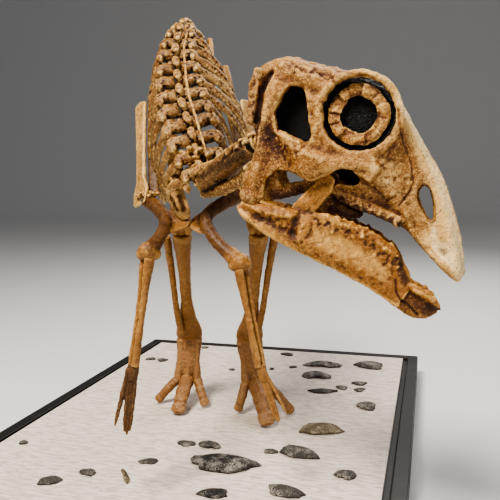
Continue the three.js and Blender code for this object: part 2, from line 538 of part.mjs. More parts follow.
function makeArm(word, side) {
  const arm = ARM[word];
  const path = arm.humerus.map(vec);
  const head = path[0];
  const elbow = path[path.length - 1];
  const wrist = vec(arm.wrist);
  const tips = vec(arm.tips);
  const fore = wrist.clone().sub(elbow).normalize();
  const corner = vec(arm.corner);
  const crest = shaft([path[1].clone().lerp(head, 0.2), corner, path[3].clone().lerp(path[2], 0.3)],
    [[0, 1.2, 3], [0.5, 1.1, 5], [1, 1.4, 3]], new THREE.Vector3(0, -0.5, 0.85), 6);
  let humerus = join([humerusShaft(word, side), crest, ball(arm.humerus[4], 6.6, 8)]);
  const joint = elbow.clone().addScaledVector(fore, 3.2);
  humerus = trim(humerus, joint, fore, 40);
  addPiece(skeleton, `humerus_${word}`, humerus, bone);
  const pair = new THREE.Vector3(side * 0.6, 0.8, 0);
  for (const [name, sign] of [['ulna', 1], ['radius', -1]]) {
    const start = elbow.clone().addScaledVector(pair, sign * 2.3);
    const end = wrist.clone().addScaledVector(pair, sign * 2);
    let body = shaft([start, start.clone().lerp(end, 0.5).addScaledVector(pair, sign * -0.3), end],
      [[0, 2.8, 3.4], [0.2, 2.3, 2.7], [0.55, 1.8, 2.1], [1, 2.5, 3]], pair, 6);
    body = trim(body, joint, fore.clone().negate(), 40);
    body = trim(body, elbow.clone().lerp(wrist, 0.5), pair.clone().multiplyScalar(-sign), 200);
    body = trim(body, wrist, fore, 40);
    addPiece(skeleton, `${name}_${word}`, body, bone);
  }
  const out = new THREE.Vector3(side, 0, 0);
  const down = tips.clone().sub(wrist);
  const digits = [[-0.9, 0.9, 0.8], [0, 1, 0.4], [0.9, 0.92, 0.8], [1.3, 0.8, 5.5]]; // place, reach, splay
  const bones = digits.map(([place, reach, splay]) => {
    const root = wrist.clone().addScaledVector(out, place * 2).addScaledVector(fore, 2);
    const knuckle = root.clone().addScaledVector(down, 0.48).addScaledVector(out, Math.sign(place) * splay * 0.5);
    const end = root.clone().addScaledVector(down, reach).addScaledVector(out, Math.sign(place) * splay);
    return shaft([root, knuckle, end], [[0, 1.7, 1.9], [0.48, 1.5, 1.6], [1, 0.6, 0.7]], out, 4);
  });
  bones.push(shaft([wrist.clone().addScaledVector(fore, -1), wrist.clone().addScaledVector(fore, 5)],
    [[0, 3.9, 3], [1, 3.9, 2.2]], out, 6));
  addPiece(skeleton, `hand_${word}`, trim(join(bones), wrist, fore.clone().negate(), 40), darkBone);
}

// ---------- legs ----------
function makeLeg(word, side) {
  const leg = LEG[word];
  const hip = new THREE.Vector3(HIP.x - 3.5 + side * (HIP.half + 3.4), HIP.y, HIP.z);
  const knee = vec(leg.knee);
  const ankle = vec(leg.ankle);
  const ballPoint = vec(leg.ball);
  const out = new THREE.Vector3(side, 0, 0);
  const shin = ankle.clone().sub(knee).normalize();
  const shaftTop = hip.clone().addScaledVector(out, 6.5).add(new THREE.Vector3(0, 0, -1));
  const bend = shaftTop.clone().lerp(knee, 0.5).add(new THREE.Vector3(0, -4, 0));
  let femur = join([
    shaft([shaftTop.clone().add(new THREE.Vector3(0, 0, 5)), shaftTop.clone().lerp(knee, 0.16), bend, knee],
      [[0, 3.4, 5], [0.1, 4.4, 6.4], [0.35, 5, 5.4], [0.62, 4.6, 4.8], [0.85, 6.6, 6], [1, 8.4, 7]], out, 7),
    shaft([hip, shaftTop], [[0, 4.4, 4.4], [1, 4.6, 4.8]], Z_AXIS, 6),
    ball(hip.toArray(), HIP.head, 8),
    shaft([shaftTop.clone().lerp(knee, 0.36).addScaledVector(Y_AXIS, 3.5), bend.clone().addScaledVector(Y_AXIS, 7.5)
      .lerp(shaftTop, 0.1), bend.clone().lerp(knee, 0.22).addScaledVector(Y_AXIS, 3.5)],
    [[0, 1.4, 1.6], [0.5, 1.5, 3], [1, 1.2, 1.4]], out, 4),
  ]);
  femur = trim(femur, knee, shin, 60);
  addPiece(skeleton, `femur_${word}`, femur, bone);
  const calf = knee.clone().lerp(ankle, 0.5).add(new THREE.Vector3(0, -2.5, 0));
  const girth = [[0, 7.4, 8.6], [0.18, 5.8, 6.4], [0.38, 4.6, 4.8], [0.6, 4.8, 4.4], [0.78, 7.2, 4.6],
    [0.92, 11.4, 6], [1, 11.8, 6.4]];
  const shank = shaft([knee, calf, ankle], girth, out, 8);
  let tibia = trim(shank, knee, shin.clone().negate(), 60);
  tibia = trim(tibia, ankle, shin.clone().lerp(ballPoint.clone().sub(ankle).normalize(), 0.5), 60);
  addPiece(skeleton, `tibia_${word}`, tibia, bone);
  const fat = shaft([knee, calf, ankle], girth, out, 8, GAP);
  const beside = (t, far, behind) => knee.clone().lerp(ankle, t).addScaledVector(out, far)
    .add(new THREE.Vector3(0, behind, 0));
  const splint = shaft([beside(0.02, 12, 3), beside(0.3, 10, -1), beside(0.7, 8, -6.5), beside(0.94, 5.5, -9.5)],
    [[0, 2.6, 3.4], [0.15, 2.3, 2.8], [0.5, 2, 2.2], [1, 2.4, 2.3]], out, 5);
  addPiece(skeleton, `fibula_${word}`, largest(splint.subtract(fat)), bone);
  makeFoot(word, side, ankle, ballPoint, shin);
}

/** The largest of the pieces that a cut leaves. */
const largest = (body) => body.decompose().sort((a, b) => b.volume() - a.volume())[0];

function makeFoot(word, side, ankle, ballPoint, shin) {
  const leg = LEG[word];
  const out = new THREE.Vector3(side, 0, 0);
  const across = { outer: 1, middle: 0, inner: -1 };
  const down = ballPoint.clone().sub(ankle).normalize();
  const turn = shin.clone().lerp(down, 0.5).normalize();
  const spread = 8.2;
  const heads = {};
  const bones = Object.entries(across).map(([name, place]) => {
    const top = ankle.clone().addScaledVector(out, place * 6.8).addScaledVector(turn, -1);
    const low = ballPoint.clone().addScaledVector(out, place * spread);
    heads[name] = low;
    return shaft([top, top.clone().lerp(low, 0.5).addScaledVector(out, -place * 0.8),
      low.clone().addScaledVector(down, 2)],
    [[0, 4.4, 5], [0.45, 3.3, 3.8], [1, 4, 4]], out, 6);
  });
  bones.push(shaft([ankle.clone().addScaledVector(turn, -2), ankle.clone().addScaledVector(turn, 5)],
    [[0, 10.4, 5.6], [1, 10.6, 5.4]], out, 8));
  let block = trim(join(bones), ankle, turn.clone().negate(), 60);
  const forward = vec([...leg.toes.middle, ballPoint.z]).sub(ballPoint).normalize();
  const cut = down.clone().addScaledVector(forward, 0.8).normalize();
  block = trim(block, ballPoint, cut, 60);
  addPiece(skeleton, `metatarsus_${word}`, block, bone);
  for (const [name, place] of Object.entries(across)) {
    const [tx, ty] = leg.toes[name];
    const tip = new THREE.Vector3(tx, ty, MAT_TOP + GAP + TOE_TIP);
    const low = heads[name];
    const run = tip.clone().sub(low);
    const start = low.clone().addScaledVector(cut, -3);
    const knuckle = low.clone().addScaledVector(run, 0.42).add(new THREE.Vector3(0, 0, 2.4));
    const second = low.clone().addScaledVector(run, 0.74).add(new THREE.Vector3(0, 0, 0.9));
    const plump = place === 0 ? 1.45 : 1.08;
    const girth = [[0, 3.7, 3.8], [0.2, 3.3, 3.2], [0.42, 3.5, 3.3], [0.7, 3.1, 2.8], [0.92, 2.9, 2], [1, 1.6, 1.2]];
    let toe = shaft([start, knuckle, second, tip], girth.map(([t, a, b]) => [t, a * plump, b * plump]), out, 6);
    toe = trim(toe, ballPoint, cut.clone().negate(), 60);
    toe = toe.subtract(beyond(new THREE.Vector3(tx, ty, MAT_TOP + GAP), Z_AXIS.clone().negate(), 200));
    for (const other of Object.keys(across)) {
      if (Math.abs(across[other] - place) !== 1) continue;
      const beside = vec([...leg.toes[other], 0]).lerp(vec([tx, ty, 0]), 0.5);
      const wall = heads[other].clone().lerp(low, place === 0 ? 0.42 : 0.58); // nearer to the side toe
      const line = beside.sub(wall);
      const normal = new THREE.Vector3(line.y, -line.x, 0);
      toe = trim(toe, wall, normal.multiplyScalar(Math.sign(normal.x * side) * (across[other] - place)), 100);
    }
    addPiece(skeleton, `toe_${name}_${word}`, largest(toe), darkBone);
  }
}

// ---------- eggshell pieces on the mat ----------
const SHELLS = [ // x, y on the board, length, width, turn, dome height
  [33, -56, 45, 27, 4, 6], [78, -27, 28, 19, -10, 4], [86, 15, 33, 22, 24, 4.5], [107, 179, 32, 22, 8, 5],
  [115, 70, 18, 17, 40, 4], [61, 136, 29, 19, -6, 5], [62, 170, 38, 17, 5, 5], [114, -50, 14, 13, 20, 3],
  [81, -80, 25, 14, -8, 4], [-67, -105, 16, 11, 30, 3], [40, -93, 20, 11, 12, 3], [74, 96, 26, 10, 10, 3],
  [14, -31, 17, 12, -15, 3],
];

/** A curved, cornered piece of shell lying on the mat. */
function makeShells() {
  SHELLS.forEach(([x, y, length, width, turn, dome], order) => {
    const corners = 7;
    const cap = new THREE.CylinderGeometry(1, 1, 1, corners, 1);
    const place = cap.attributes.position;
    for (let i = 0; i < place.count; i += 1) {
      const reach = Math.hypot(place.getX(i), place.getZ(i));
      const top = place.getY(i) > 0;
      const angle = Math.atan2(place.getZ(i), place.getX(i));
      const ragged = 1 + 0.16 * Math.sin(angle * 3 + order * 1.7) + 0.1 * Math.cos(angle * 2 + order);
      const height = top ? (reach > 0.5 ? 1.3 : dome) : (reach > 0.5 ? 0 : dome - 1.3);
      place.setXYZ(i, place.getX(i) * ragged * (length / 2), height, place.getZ(i) * ragged * (width / 2));
    }
    cap.rotateX(Math.PI / 2).rotateZ(rad(turn)).translate(x, y, MAT_TOP);
    addPiece(object, `eggshell_${String(order + 1).padStart(2, '0')}`, solid(cap), shell);
  });
}

makeBase();
makeSkull();
makeScleralRing('scleral_ring_right', -1);
makeScleralRing('scleral_ring_left', 1);
makeDentary('dentary_right', -1);
makeDentary('dentary_left', 1);
makePredentary();
makeNeck();
makeRibCage();
makeSacrum();
makeTail();
for (const [word, side] of [['right', -1], ['left', 1]]) {
  makePelvis(word, side);
  makeShoulder(word, side);
  makeArm(word, side);
  makeLeg(word, side);
}
makeShells();

export default object;
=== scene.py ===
"""Museum cast of a nestling duck-billed dinosaur that stands on a display board among eggshell pieces.

The skeleton is modelled in millimetres in its own frame, X to the animal's left, Y behind it and Z up, and is
then set on the board. Each bone begins as overlapping lumps, which are fused, smoothed, scored with sutures
and pits, and painted in the way a museum cast is, with painted shade in crevices and in some recesses.
"""
from __future__ import annotations

import json
import logging
import math
from dataclasses import dataclass, field
from enum import Enum
from typing import Callable, Iterable, Sequence

import bmesh
import bpy
import numpy as np
from mathutils import Matrix, Vector

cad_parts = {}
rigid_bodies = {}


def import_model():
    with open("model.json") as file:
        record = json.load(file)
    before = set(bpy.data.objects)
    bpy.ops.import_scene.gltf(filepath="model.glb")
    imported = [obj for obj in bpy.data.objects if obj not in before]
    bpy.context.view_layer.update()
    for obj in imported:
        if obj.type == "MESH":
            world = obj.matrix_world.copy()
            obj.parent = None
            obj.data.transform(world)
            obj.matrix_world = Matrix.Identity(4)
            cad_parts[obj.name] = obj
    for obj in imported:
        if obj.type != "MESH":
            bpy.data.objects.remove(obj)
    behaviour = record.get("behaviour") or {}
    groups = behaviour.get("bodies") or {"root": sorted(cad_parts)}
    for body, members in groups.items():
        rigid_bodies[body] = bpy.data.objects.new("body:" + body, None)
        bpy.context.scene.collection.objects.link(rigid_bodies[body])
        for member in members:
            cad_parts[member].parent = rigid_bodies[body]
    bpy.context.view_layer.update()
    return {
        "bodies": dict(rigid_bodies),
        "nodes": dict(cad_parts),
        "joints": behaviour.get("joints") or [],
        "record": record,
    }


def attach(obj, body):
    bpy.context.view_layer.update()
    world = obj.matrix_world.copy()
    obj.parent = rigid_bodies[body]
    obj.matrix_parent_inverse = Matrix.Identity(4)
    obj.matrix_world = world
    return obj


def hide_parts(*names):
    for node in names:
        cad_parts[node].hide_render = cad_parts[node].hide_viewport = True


LOG = logging.getLogger("nestling_display")
MM = 0.001
MAT_TOP = 23.0  # height of the mat's upper face over the board's underside, in mm
Triple = Sequence[float]
Row = Sequence[float]
SIDES = (("right", -1), ("left", 1))
STAND = Matrix.Translation((-9, 24, 0)) @ Matrix.Rotation(math.radians(16.8), 4, "Z")
SKULL_FRAME = (Matrix.Translation((93, -172, 241)) @ Matrix.Rotation(math.radians(-14), 4, "Z")
               @ Matrix.Rotation(math.radians(34), 4, "Y"))


def lerp(start: float, end: float, share: float) -> float:
    """Value a share of the way from start to end."""
    return start + (end - start) * share


def link(name: str, data: bpy.types.ID) -> bpy.types.Object:
    """Make an object of some data and put it in the scene.

    Args:
        name: Its name.
        data: Its mesh, light or camera.

    Returns:
        The object.
    """
    item = bpy.data.objects.new(name, data)
    bpy.context.scene.collection.objects.link(item)
    return item


def to_mesh(name: str, bm: bmesh.types.BMesh) -> bpy.types.Mesh:
    """Turn an edit mesh into a mesh and end it.

    Args:
        name: Name of the mesh.
        bm: The edit mesh, which is freed.

    Returns:
        The mesh.
    """
    mesh = bpy.data.meshes.new(name)
    bm.to_mesh(mesh)
    bm.free()
    return mesh


# ---------------------------------------------------------------- curves and places
class Spline:
    """A smooth curve through points, read by its length from 0 to 1."""

    STEPS = 30  # samples between two points

    def __init__(self, points: Sequence[Triple]) -> None:
        """Sample the curve through the points.

        Args:
            points: Places that it passes, in order.
        """
        knots = [np.array(tuple(p), float) for p in points]
        knots = [2 * knots[0] - knots[1], *knots, 2 * knots[-1] - knots[-2]]
        rows = []
        for a, b, c, d in zip(knots, knots[1:], knots[2:], knots[3:]):
            ta, tb, tc = (max(math.sqrt(np.linalg.norm(v)), 1e-3) for v in (b - a, c - b, d - c))
            leave = ((b - a) / ta - (c - a) / (ta + tb) + (c - b) / tb) * tb
            meet = ((c - b) / tb - (d - b) / (tb + tc) + (d - c) / tc) * tb
            s = np.linspace(0, 1, self.STEPS, endpoint=False)[:, None]
            rows.append(b + leave * s + (3 * (c - b) - 2 * leave - meet) * s ** 2
                        + (2 * (b - c) + leave + meet) * s ** 3)
        rows.append(knots[-2][None])
        self.line = np.vstack(rows)
        self.run = np.concatenate([[0.0], np.cumsum(np.linalg.norm(np.diff(self.line, axis=0), axis=1))])
        self.length = float(self.run[-1])

    def at(self, t: float) -> Vector:
        """Point at a share of the length."""
        return Vector([float(np.interp(t * self.length, self.run, self.line[:, k])) for k in range(3)])

    def tangent(self, t: float) -> Vector:
        """Unit direction of travel at a share of the length."""
        return (self.at(min(1, t + 0.01)) - self.at(max(0, t - 0.01))).normalized()


@dataclass(frozen=True)
class Station:
    """A place on the spine with its three directions and the spacing of its bones."""

    at: Vector
    along: Vector
    left: Vector
    dorsal: Vector
    pitch: float
    t: float

    def off(self, left: float, dorsal: float, back: float = 0.0) -> Vector:
        """Point that lies off the station by the given distances."""
        return self.at + self.left * left + self.dorsal * dorsal + self.along * back

    def turn(self) -> Matrix:
        """Rotation whose axes are left, tailward and dorsal."""
        return Matrix((self.left, self.along, self.dorsal)).transposed().to_4x4()


def stations(path: Sequence[Triple], count: int, lead: Triple = (1, 0, 0)) -> list[Station]:
    """Evenly spaced places on a stretch of the spine.

    Args:
        path: Points of the stretch, head to tail.
        count: Number of bones in it.
        lead: Rough direction of the animal's left.

    Returns:
        One station for each bone.
    """
    curve = Spline(path)
    rows = []
    for i in range(count):
        t = (i + 0.5) / count
        along = curve.tangent(t)
        left = Vector(lead)
        left = (left - along * left.dot(along)).normalized()
        dorsal = along.cross(left)
        rows.append(Station(curve.at(t), along, left, -dorsal if dorsal.z < 0 else dorsal,
                            curve.length / count, t))
    return rows


# ---------------------------------------------------------------- modelling
class Clay:
    """Overlapping lumps in one mesh, in millimetres, that are fused into a bone."""

    def __init__(self, place: Matrix | None = None) -> None:
        """Start empty.

        Args:
            place: Matrix from the frame in which the lumps are given to the skeleton's frame.
        """
        self.bm = bmesh.new()
        self.place = place or Matrix()

    def tube(self, path: Sequence[Triple] | Spline, girth: Sequence[Triple], side: Triple = (1, 0, 0),
             sides: int = 10, rings: int = 0) -> Clay:
        """Add a closed tube of oval section.

        Args:
            path: Points of its middle line.
            girth: Rows of place from 0 to 1, radius towards side, and radius square to it.
            side: Direction of the first radius.
            sides: Corners of the section.
            rings: Least number of rings, or 0 for one every 4 mm.

        Returns:
            This lump, for chaining.
        """
        curve = path if isinstance(path, Spline) else Spline(path)
        rows = np.array(girth, float)
        count = rings or int(curve.length / 4) + 2
        marks = sorted(set(rows[:, 0]) | set(np.linspace(rows[0, 0], rows[-1, 0], count)))
        before = Matrix()
        face = bmesh.ops.create_circle(self.bm, cap_ends=True, segments=sides, radius=1.0)["verts"][0].link_faces[0]
        for order, t in enumerate(marks):
            along = curve.tangent(t)
            across = Vector(side)
            across = (across - along * across.dot(along)).normalized()
            wide = float(np.interp(t, rows[:, 0], rows[:, 1]))
            deep = float(np.interp(t, rows[:, 0], rows[:, 2]))
            turn = Matrix((across * wide, along.cross(across) * deep, along)).transposed().to_4x4()
            spot = self.place @ Matrix.Translation(curve.at(t)) @ turn
            if order:
                made = bmesh.ops.extrude_face_region(self.bm, geom=[face])["geom"]
                face = next(g for g in made if isinstance(g, bmesh.types.BMFace))
            bmesh.ops.transform(self.bm, matrix=spot @ before.inverted(), verts=face.verts)
            before = spot
        return self

    def loft(self, marks: Iterable[float], sides: int, corner: Callable[[float, float], Triple]) -> Clay:
        """Start with a closed lump whose sections stand along X.

        Args:
            marks: X of each section.
            sides: Corners of a section.
            corner: Gives a corner's place from X and its turn round the section.

        Returns:
            This lump, for chaining.
        """
        face = bmesh.ops.create_circle(self.bm, cap_ends=True, segments=sides, radius=1.0)["verts"][0].link_faces[0]
        for order, x in enumerate(marks):
            if order:
                made = bmesh.ops.extrude_face_region(self.bm, geom=[face])["geom"]
                face = next(g for g in made if isinstance(g, bmesh.types.BMFace))
            for i, vert in enumerate(face.verts):
                vert.co = corner(x, 2 * math.pi * i / sides)
        bmesh.ops.transform(self.bm, matrix=self.place, verts=self.bm.verts)
        return self

    def ball(self, at: Triple, radius: float | Triple, turn: Matrix | None = None) -> Clay:
        """Add an egg-shaped lump.

        Args:
            at: Its middle.
            radius: One radius, or one for each axis.
            turn: Rotation of its axes.

        Returns:
            This lump, for chaining.
        """
        size = (radius,) * 3 if isinstance(radius, (int, float)) else radius
        spot = self.place @ Matrix.Translation(Vector(at)) @ (turn or Matrix()) @ Matrix.Diagonal((*size, 1))
        bmesh.ops.create_icosphere(self.bm, subdivisions=2, radius=1.0, matrix=spot)
        return self

    def slab(self, outline: Sequence[Row], low: float, high: float) -> Clay:
        """Add a flat lump: an outline in X and Z that reaches from one Y to another.

        Args:
            outline: Corners in order.
            low: Y of one face.
            high: Y of the other face.

        Returns:
            This lump, for chaining.
        """
        face = self.bm.faces.new([self.bm.verts.new((x, low, z)) for x, z in outline])
        first = list(face.verts)
        made = bmesh.ops.extrude_face_region(self.bm, geom=[face])["geom"]
        fresh = [g for g in made if isinstance(g, bmesh.types.BMVert)]
        bmesh.ops.translate(self.bm, vec=(0, high - low, 0), verts=fresh)
        bmesh.ops.transform(self.bm, matrix=self.place, verts=first + fresh)
        return self

    def take(self, node: bpy.types.Object) -> Clay:
        """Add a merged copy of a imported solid, which itself stays as it is.

        Args:
            node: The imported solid.

        Returns:
            This lump, for chaining.
        """
        known = set(self.bm.verts)
        self.bm.from_mesh(node.data)
        fresh = [v for v in self.bm.verts if v not in known]
        bmesh.ops.transform(self.bm, matrix=STAND.inverted() @ Matrix.Scale(1 / MM, 4), verts=fresh)
        bmesh.ops.remove_doubles(self.bm, verts=fresh, dist=0.01)
        return self

    def mesh(self) -> bpy.types.Mesh:
        """Hand over the lumps as a mesh and end."""
        bmesh.ops.recalc_face_normals(self.bm, faces=self.bm.faces)
        return to_mesh("lumps", self.bm)

    def fuse(self, voxel: float, smooth: int, grains: Sequence[Row] = (), carve: Iterable[Clay] = ()
             ) -> bpy.types.Mesh:
        """Fuse the lumps into one skin.

        Args:
            voxel: Size of the skin's faces in mm.
            smooth: Rounds of smoothing.
            grains: Size and depth in mm of each layer of unevenness.
            carve: Lumps that are cut away.

        Returns:
            The fused mesh, still in millimetres.
        """
        holder = link("lumps", self.mesh())
        cutters = []
        for lump in carve:
            remesh(holder, voxel)
            cutter = link("carve", lump.mesh())
            remesh(cutter, voxel * 1.4)
            cut = holder.modifiers.new("carve", "BOOLEAN")
            cut.operation, cut.solver, cut.object = "DIFFERENCE", "EXACT", cutter
            cutters.append(cutter)
        remesh(holder, voxel)
        soften = holder.modifiers.new("soften", "SMOOTH")
        soften.factor, soften.iterations = 0.5, smooth
        for size, depth in grains:
            texture = bpy.data.textures.new("grain", "CLOUDS")
            texture.noise_scale = size
            press = holder.modifiers.new("grain", "DISPLACE")
            press.texture, press.texture_coords, press.strength = texture, "LOCAL", depth
        done = bpy.data.meshes.new_from_object(holder.evaluated_get(bpy.context.evaluated_depsgraph_get()))
        for extra in (holder, *cutters):
            bpy.data.objects.remove(extra)
        return done


def remesh(holder: bpy.types.Object, voxel: float) -> None:
    """Add a voxel remesh to an object."""
    skin = holder.modifiers.new("fuse", "REMESH")
    skin.mode, skin.voxel_size, skin.adaptivity = "VOXEL", voxel, 0.0


@dataclass(frozen=True)
class Stroke:
    """A stroke over a bone: a line in the bone's own X and Z, that raises, presses and tints it."""

    line: Sequence[Row]
    width: float
    height: float  # in mm, below 0 for a groove
    inner: float = 6.0  # least distance from the mid-plane at which it works
    tone: float = 0.0  # from -1.5 for black-brown to 1.5 for ivory


def gravel(start: Row, end: Row, spread: float, count: int, depth: float = 0.25,
           tone: float = 0.45) -> list[Stroke]:
    """Small lumps and pits scattered along a line on a bone's side.

    Args:
        start: X and Z of the line's start.
        end: X and Z of its end.
        spread: How far they stray from it.
        count: How many there are.
        depth: Height of the lumps and depth of the pits, in mm.
        tone: How much paler or darker they are.

    Returns:
        The strokes.
    """
    golden, reach, width, inner = 0.618, 1.5, 0.7, 8
    made = []
    for k in range(count):
        share, stray, way = k * golden % 1, spread * math.sin(k * 2.7), k * 1.7
        x, z = lerp(start[0], end[0], share) + 0.4 * stray, lerp(start[1], end[1], share) + stray
        sign = 1 if k % 2 else -1
        made.append(Stroke([(x, z), (x + reach * math.cos(way), z + reach * math.sin(way))], width, sign * depth,
                           inner, sign * tone))
    return made


class Skin:
    """The vertices of a fused mesh, for moves and for measuring hollows and ridges."""

    def __init__(self, mesh: bpy.types.Mesh) -> None:
        """Read a mesh.

        Args:
            mesh: The fused mesh.
        """
        self.mesh = mesh
        self.points = np.empty(len(mesh.vertices) * 3)
        mesh.vertices.foreach_get("co", self.points)
        self.points = self.points.reshape(-1, 3)
        self.edges = np.empty(len(mesh.edges) * 2, dtype=np.int64)
        mesh.edges.foreach_get("vertices", self.edges)
        self.edges = self.edges.reshape(-1, 2)

    def normals(self) -> np.ndarray:
        """Outward direction at each vertex.

        Returns:
            One row for each vertex.
        """
        rows = np.empty(len(self.mesh.vertices) * 3)
        self.mesh.vertices.foreach_get("normal", rows)
        return rows.reshape(-1, 3)

    def write(self) -> None:
        """Put the vertices back."""
        self.mesh.vertices.foreach_set("co", self.points.ravel())
        self.mesh.update()

    def local(self, frame: Matrix) -> np.ndarray:
        """The vertices in the frame of a bone."""
        inverse = np.array(frame.inverted())
        return self.points @ inverse[:3, :3].T + inverse[:3, 3]

    def store(self, name: str, value: np.ndarray) -> Skin:
        """Keep a value for each vertex under a name that a finish can read.

        Args:
            name: Name of the value.
            value: One number for each vertex.

        Returns:
            This skin, for chaining.
        """
        layer = self.mesh.attributes.new(name, "FLOAT", "POINT")
        layer.data.foreach_set("value", value.astype(np.float32))
        return self

    def strokes(self, frame: Matrix, strokes: Iterable[Stroke]) -> Skin:
        """Press strokes into both sides of a bone, or raise them.

        Args:
            frame: The bone's frame in the skeleton's.
            strokes: The strokes.

        Returns:
            This skin, for chaining.
        """
        local = self.local(frame)
        flat = local[:, (0, 2)]
        out = self.normals()
        tone = np.zeros(len(flat))
        for stroke in strokes:
            near = np.full(len(flat), np.inf)
            for a, b in zip(stroke.line, stroke.line[1:]):
                start, run = np.array(a, float), np.array(b, float) - np.array(a, float)
                share = np.clip(((flat - start) @ run) / (run @ run), 0, 1)
                near = np.minimum(near, np.linalg.norm(flat - start - share[:, None] * run, axis=1))
            force = np.exp(-(near / stroke.width) ** 2) * (np.abs(local[:, 1]) > stroke.inner)
            self.points += out * (force * stroke.height)[:, None]
            tone += force * stroke.tone
        self.write()
        return self.store("tone", np.clip(tone, -1.5, 1.5))

    def relax(self, points: np.ndarray, rounds: int) -> np.ndarray:
        """Average each vertex with its neighbours, a number of times.

        Args:
            points: One row for each vertex.
            rounds: How many times.

        Returns:
            The averaged rows.
        """
        a, b = self.edges[:, 0], self.edges[:, 1]
        count = np.bincount(self.edges.ravel(), minlength=len(points)).clip(1)[:, None]
        for _ in range(rounds):
            total = np.stack([np.bincount(a, points[b, k], len(points)) + np.bincount(b, points[a, k], len(points))
                              for k in range(3)], axis=1)
            points = 0.4 * points + 0.6 * total / count
        return points

    def cavities(self, frame: Matrix, outlines: Iterable[Sequence[Row]], radius: float) -> Skin:
        """Mark the round socket and the openings that the cast has painted black.

        Args:
            frame: The bone's frame in the skeleton's.
            outlines: Corners in X and Z of each opening.
            radius: Radius of the socket round the frame's Y axis.

        Returns:
            This skin, for chaining.
        """
        inner, socket_rim, opening_rim = 9, 17.6, 15.4
        local = self.local(frame)
        depth = np.abs(local[:, 1])
        inside = (np.hypot(local[:, 0], local[:, 2]) < radius) & (depth < socket_rim) & (depth > inner)
        for outline in outlines:
            corners = np.array(outline, float)
            sign = np.zeros(len(local), bool)
            for (ax, az), (bx, bz) in zip(corners, np.roll(corners, -1, axis=0)):
                over = (az > local[:, 2]) != (bz > local[:, 2])
                sign ^= over & (local[:, 0] < (bx - ax) * (local[:, 2] - az) / ((bz - az) or 1e-9) + ax)
            inside |= sign & (depth < opening_rim) & (depth > inner)
        value = self.relax(np.repeat(inside.astype(float)[:, None], 3, axis=1), 2)[:, 0]
        return self.store("cavity", value)

    def wear_and_shade(self) -> Skin:
        """Store how far each vertex stands out, 0 in a crevice to 1 on a ridge, for rubbed ridges and painted shade.

        Returns:
            This skin, for chaining.
        """
        out = self.normals()
        fine = self.relax(self.points, 4)
        broad = self.relax(fine, 22)
        small = np.einsum("ij,ij->i", self.points - fine, out)
        large = np.einsum("ij,ij->i", self.points - broad, out)
        value = np.full(len(out), 0.5)
        for measure, floor, share in ((small, 0.02, 0.2), (large, 0.08, 0.3)):
            measure = measure - np.median(measure)
            value += share * np.tanh(measure / max(floor, 2.4 * np.median(np.abs(measure))))
        return self.store("wear_and_shade", value)


# ---------------------------------------------------------------- finishes
class Nodes:
    """A node tree with short ways to add and join nodes."""

    def __init__(self, tree: bpy.types.NodeTree) -> None:
        """Wrap a tree and empty it."""
        self.tree = tree
        tree.nodes.clear()

    def add(self, kind: str, inputs: dict | None = None, **settings: object) -> bpy.types.Node:
        """Add a node.

        Args:
            kind: Node type without its ShaderNode prefix.
            inputs: Value, or output socket, for each input by name or place.
            settings: Properties of the node.

        Returns:
            The node.
        """
        node = self.tree.nodes.new(kind if kind.startswith("Node") else "ShaderNode" + kind)
        for name, value in settings.items():
            setattr(node, name, value)
        for name, value in (inputs or {}).items():
            if isinstance(value, bpy.types.NodeSocket):
                self.tree.links.new(value, node.inputs[name])
            else:
                node.inputs[name].default_value = value
        return node

    def math(self, operation: str, first: object, second: object, clamp: bool = False) -> bpy.types.NodeSocket:
        """Output of a Math node."""
        return self.add("Math", {0: first, 1: second}, operation=operation, use_clamp=clamp).outputs[0]

    def times(self, first: object, second: object, clamp: bool = False) -> bpy.types.NodeSocket:
        """Product of two values."""
        return self.math("MULTIPLY", first, second, clamp)

    def plus(self, first: object, second: object) -> bpy.types.NodeSocket:
        """Sum of two values."""
        return self.math("ADD", first, second)

    def less(self, first: object, second: object) -> bpy.types.NodeSocket:
        """First value without the second."""
        return self.math("SUBTRACT", first, second)

    def mix(self, share: object, first: object, second: object) -> bpy.types.NodeSocket:
        """Output of a colour mix.

        Args:
            share: How much of the second colour.
            first: The first colour.
            second: The second colour.

        Returns:
            The mixed colour.
        """
        node = self.add("Mix", data_type="RGBA")
        for name, value in ((0, share), (6, first), (7, second)):
            if isinstance(value, bpy.types.NodeSocket):
                self.tree.links.new(value, node.inputs[name])
            else:
                node.inputs[name].default_value = value
        return node.outputs[2]

    def band(self, value: object, low: float, high: float) -> bpy.types.NodeSocket:
        """Value brought to 0 at low and 1 at high, with soft ends."""
        return self.add("MapRange", {"Value": value, "From Min": low, "From Max": high},
                        interpolation_type="SMOOTHSTEP").outputs[0]

    def noise(self, where: object, scale: float, detail: float = 3.0, rough: float = 0.55
              ) -> bpy.types.NodeSocket:
        """Height of a noise."""
        inputs = {"Vector": where, "Scale": scale, "Detail": detail, "Roughness": rough}
        return self.add("TexNoise", inputs).outputs[0]

    def surface(self, color: object, rough: object, height: object, relief: Sequence[float],
                extra: dict | None = None) -> None:
        """Close a material with a shader whose surface is bumped.

        Args:
            color: Its colour.
            rough: Its roughness.
            height: Height of its bumps.
            relief: Strength of the bump and its depth in metres.
            extra: Further inputs of the shader.
        """
        bump = self.add("Bump", {"Height": height, "Strength": relief[0], "Distance": relief[1]})
        inputs = {"Base Color": color, "Roughness": rough, "Normal": bump.outputs[0], **(extra or {})}
        self.add("OutputMaterial", {"Surface": self.add("BsdfPrincipled", inputs).outputs[0]})


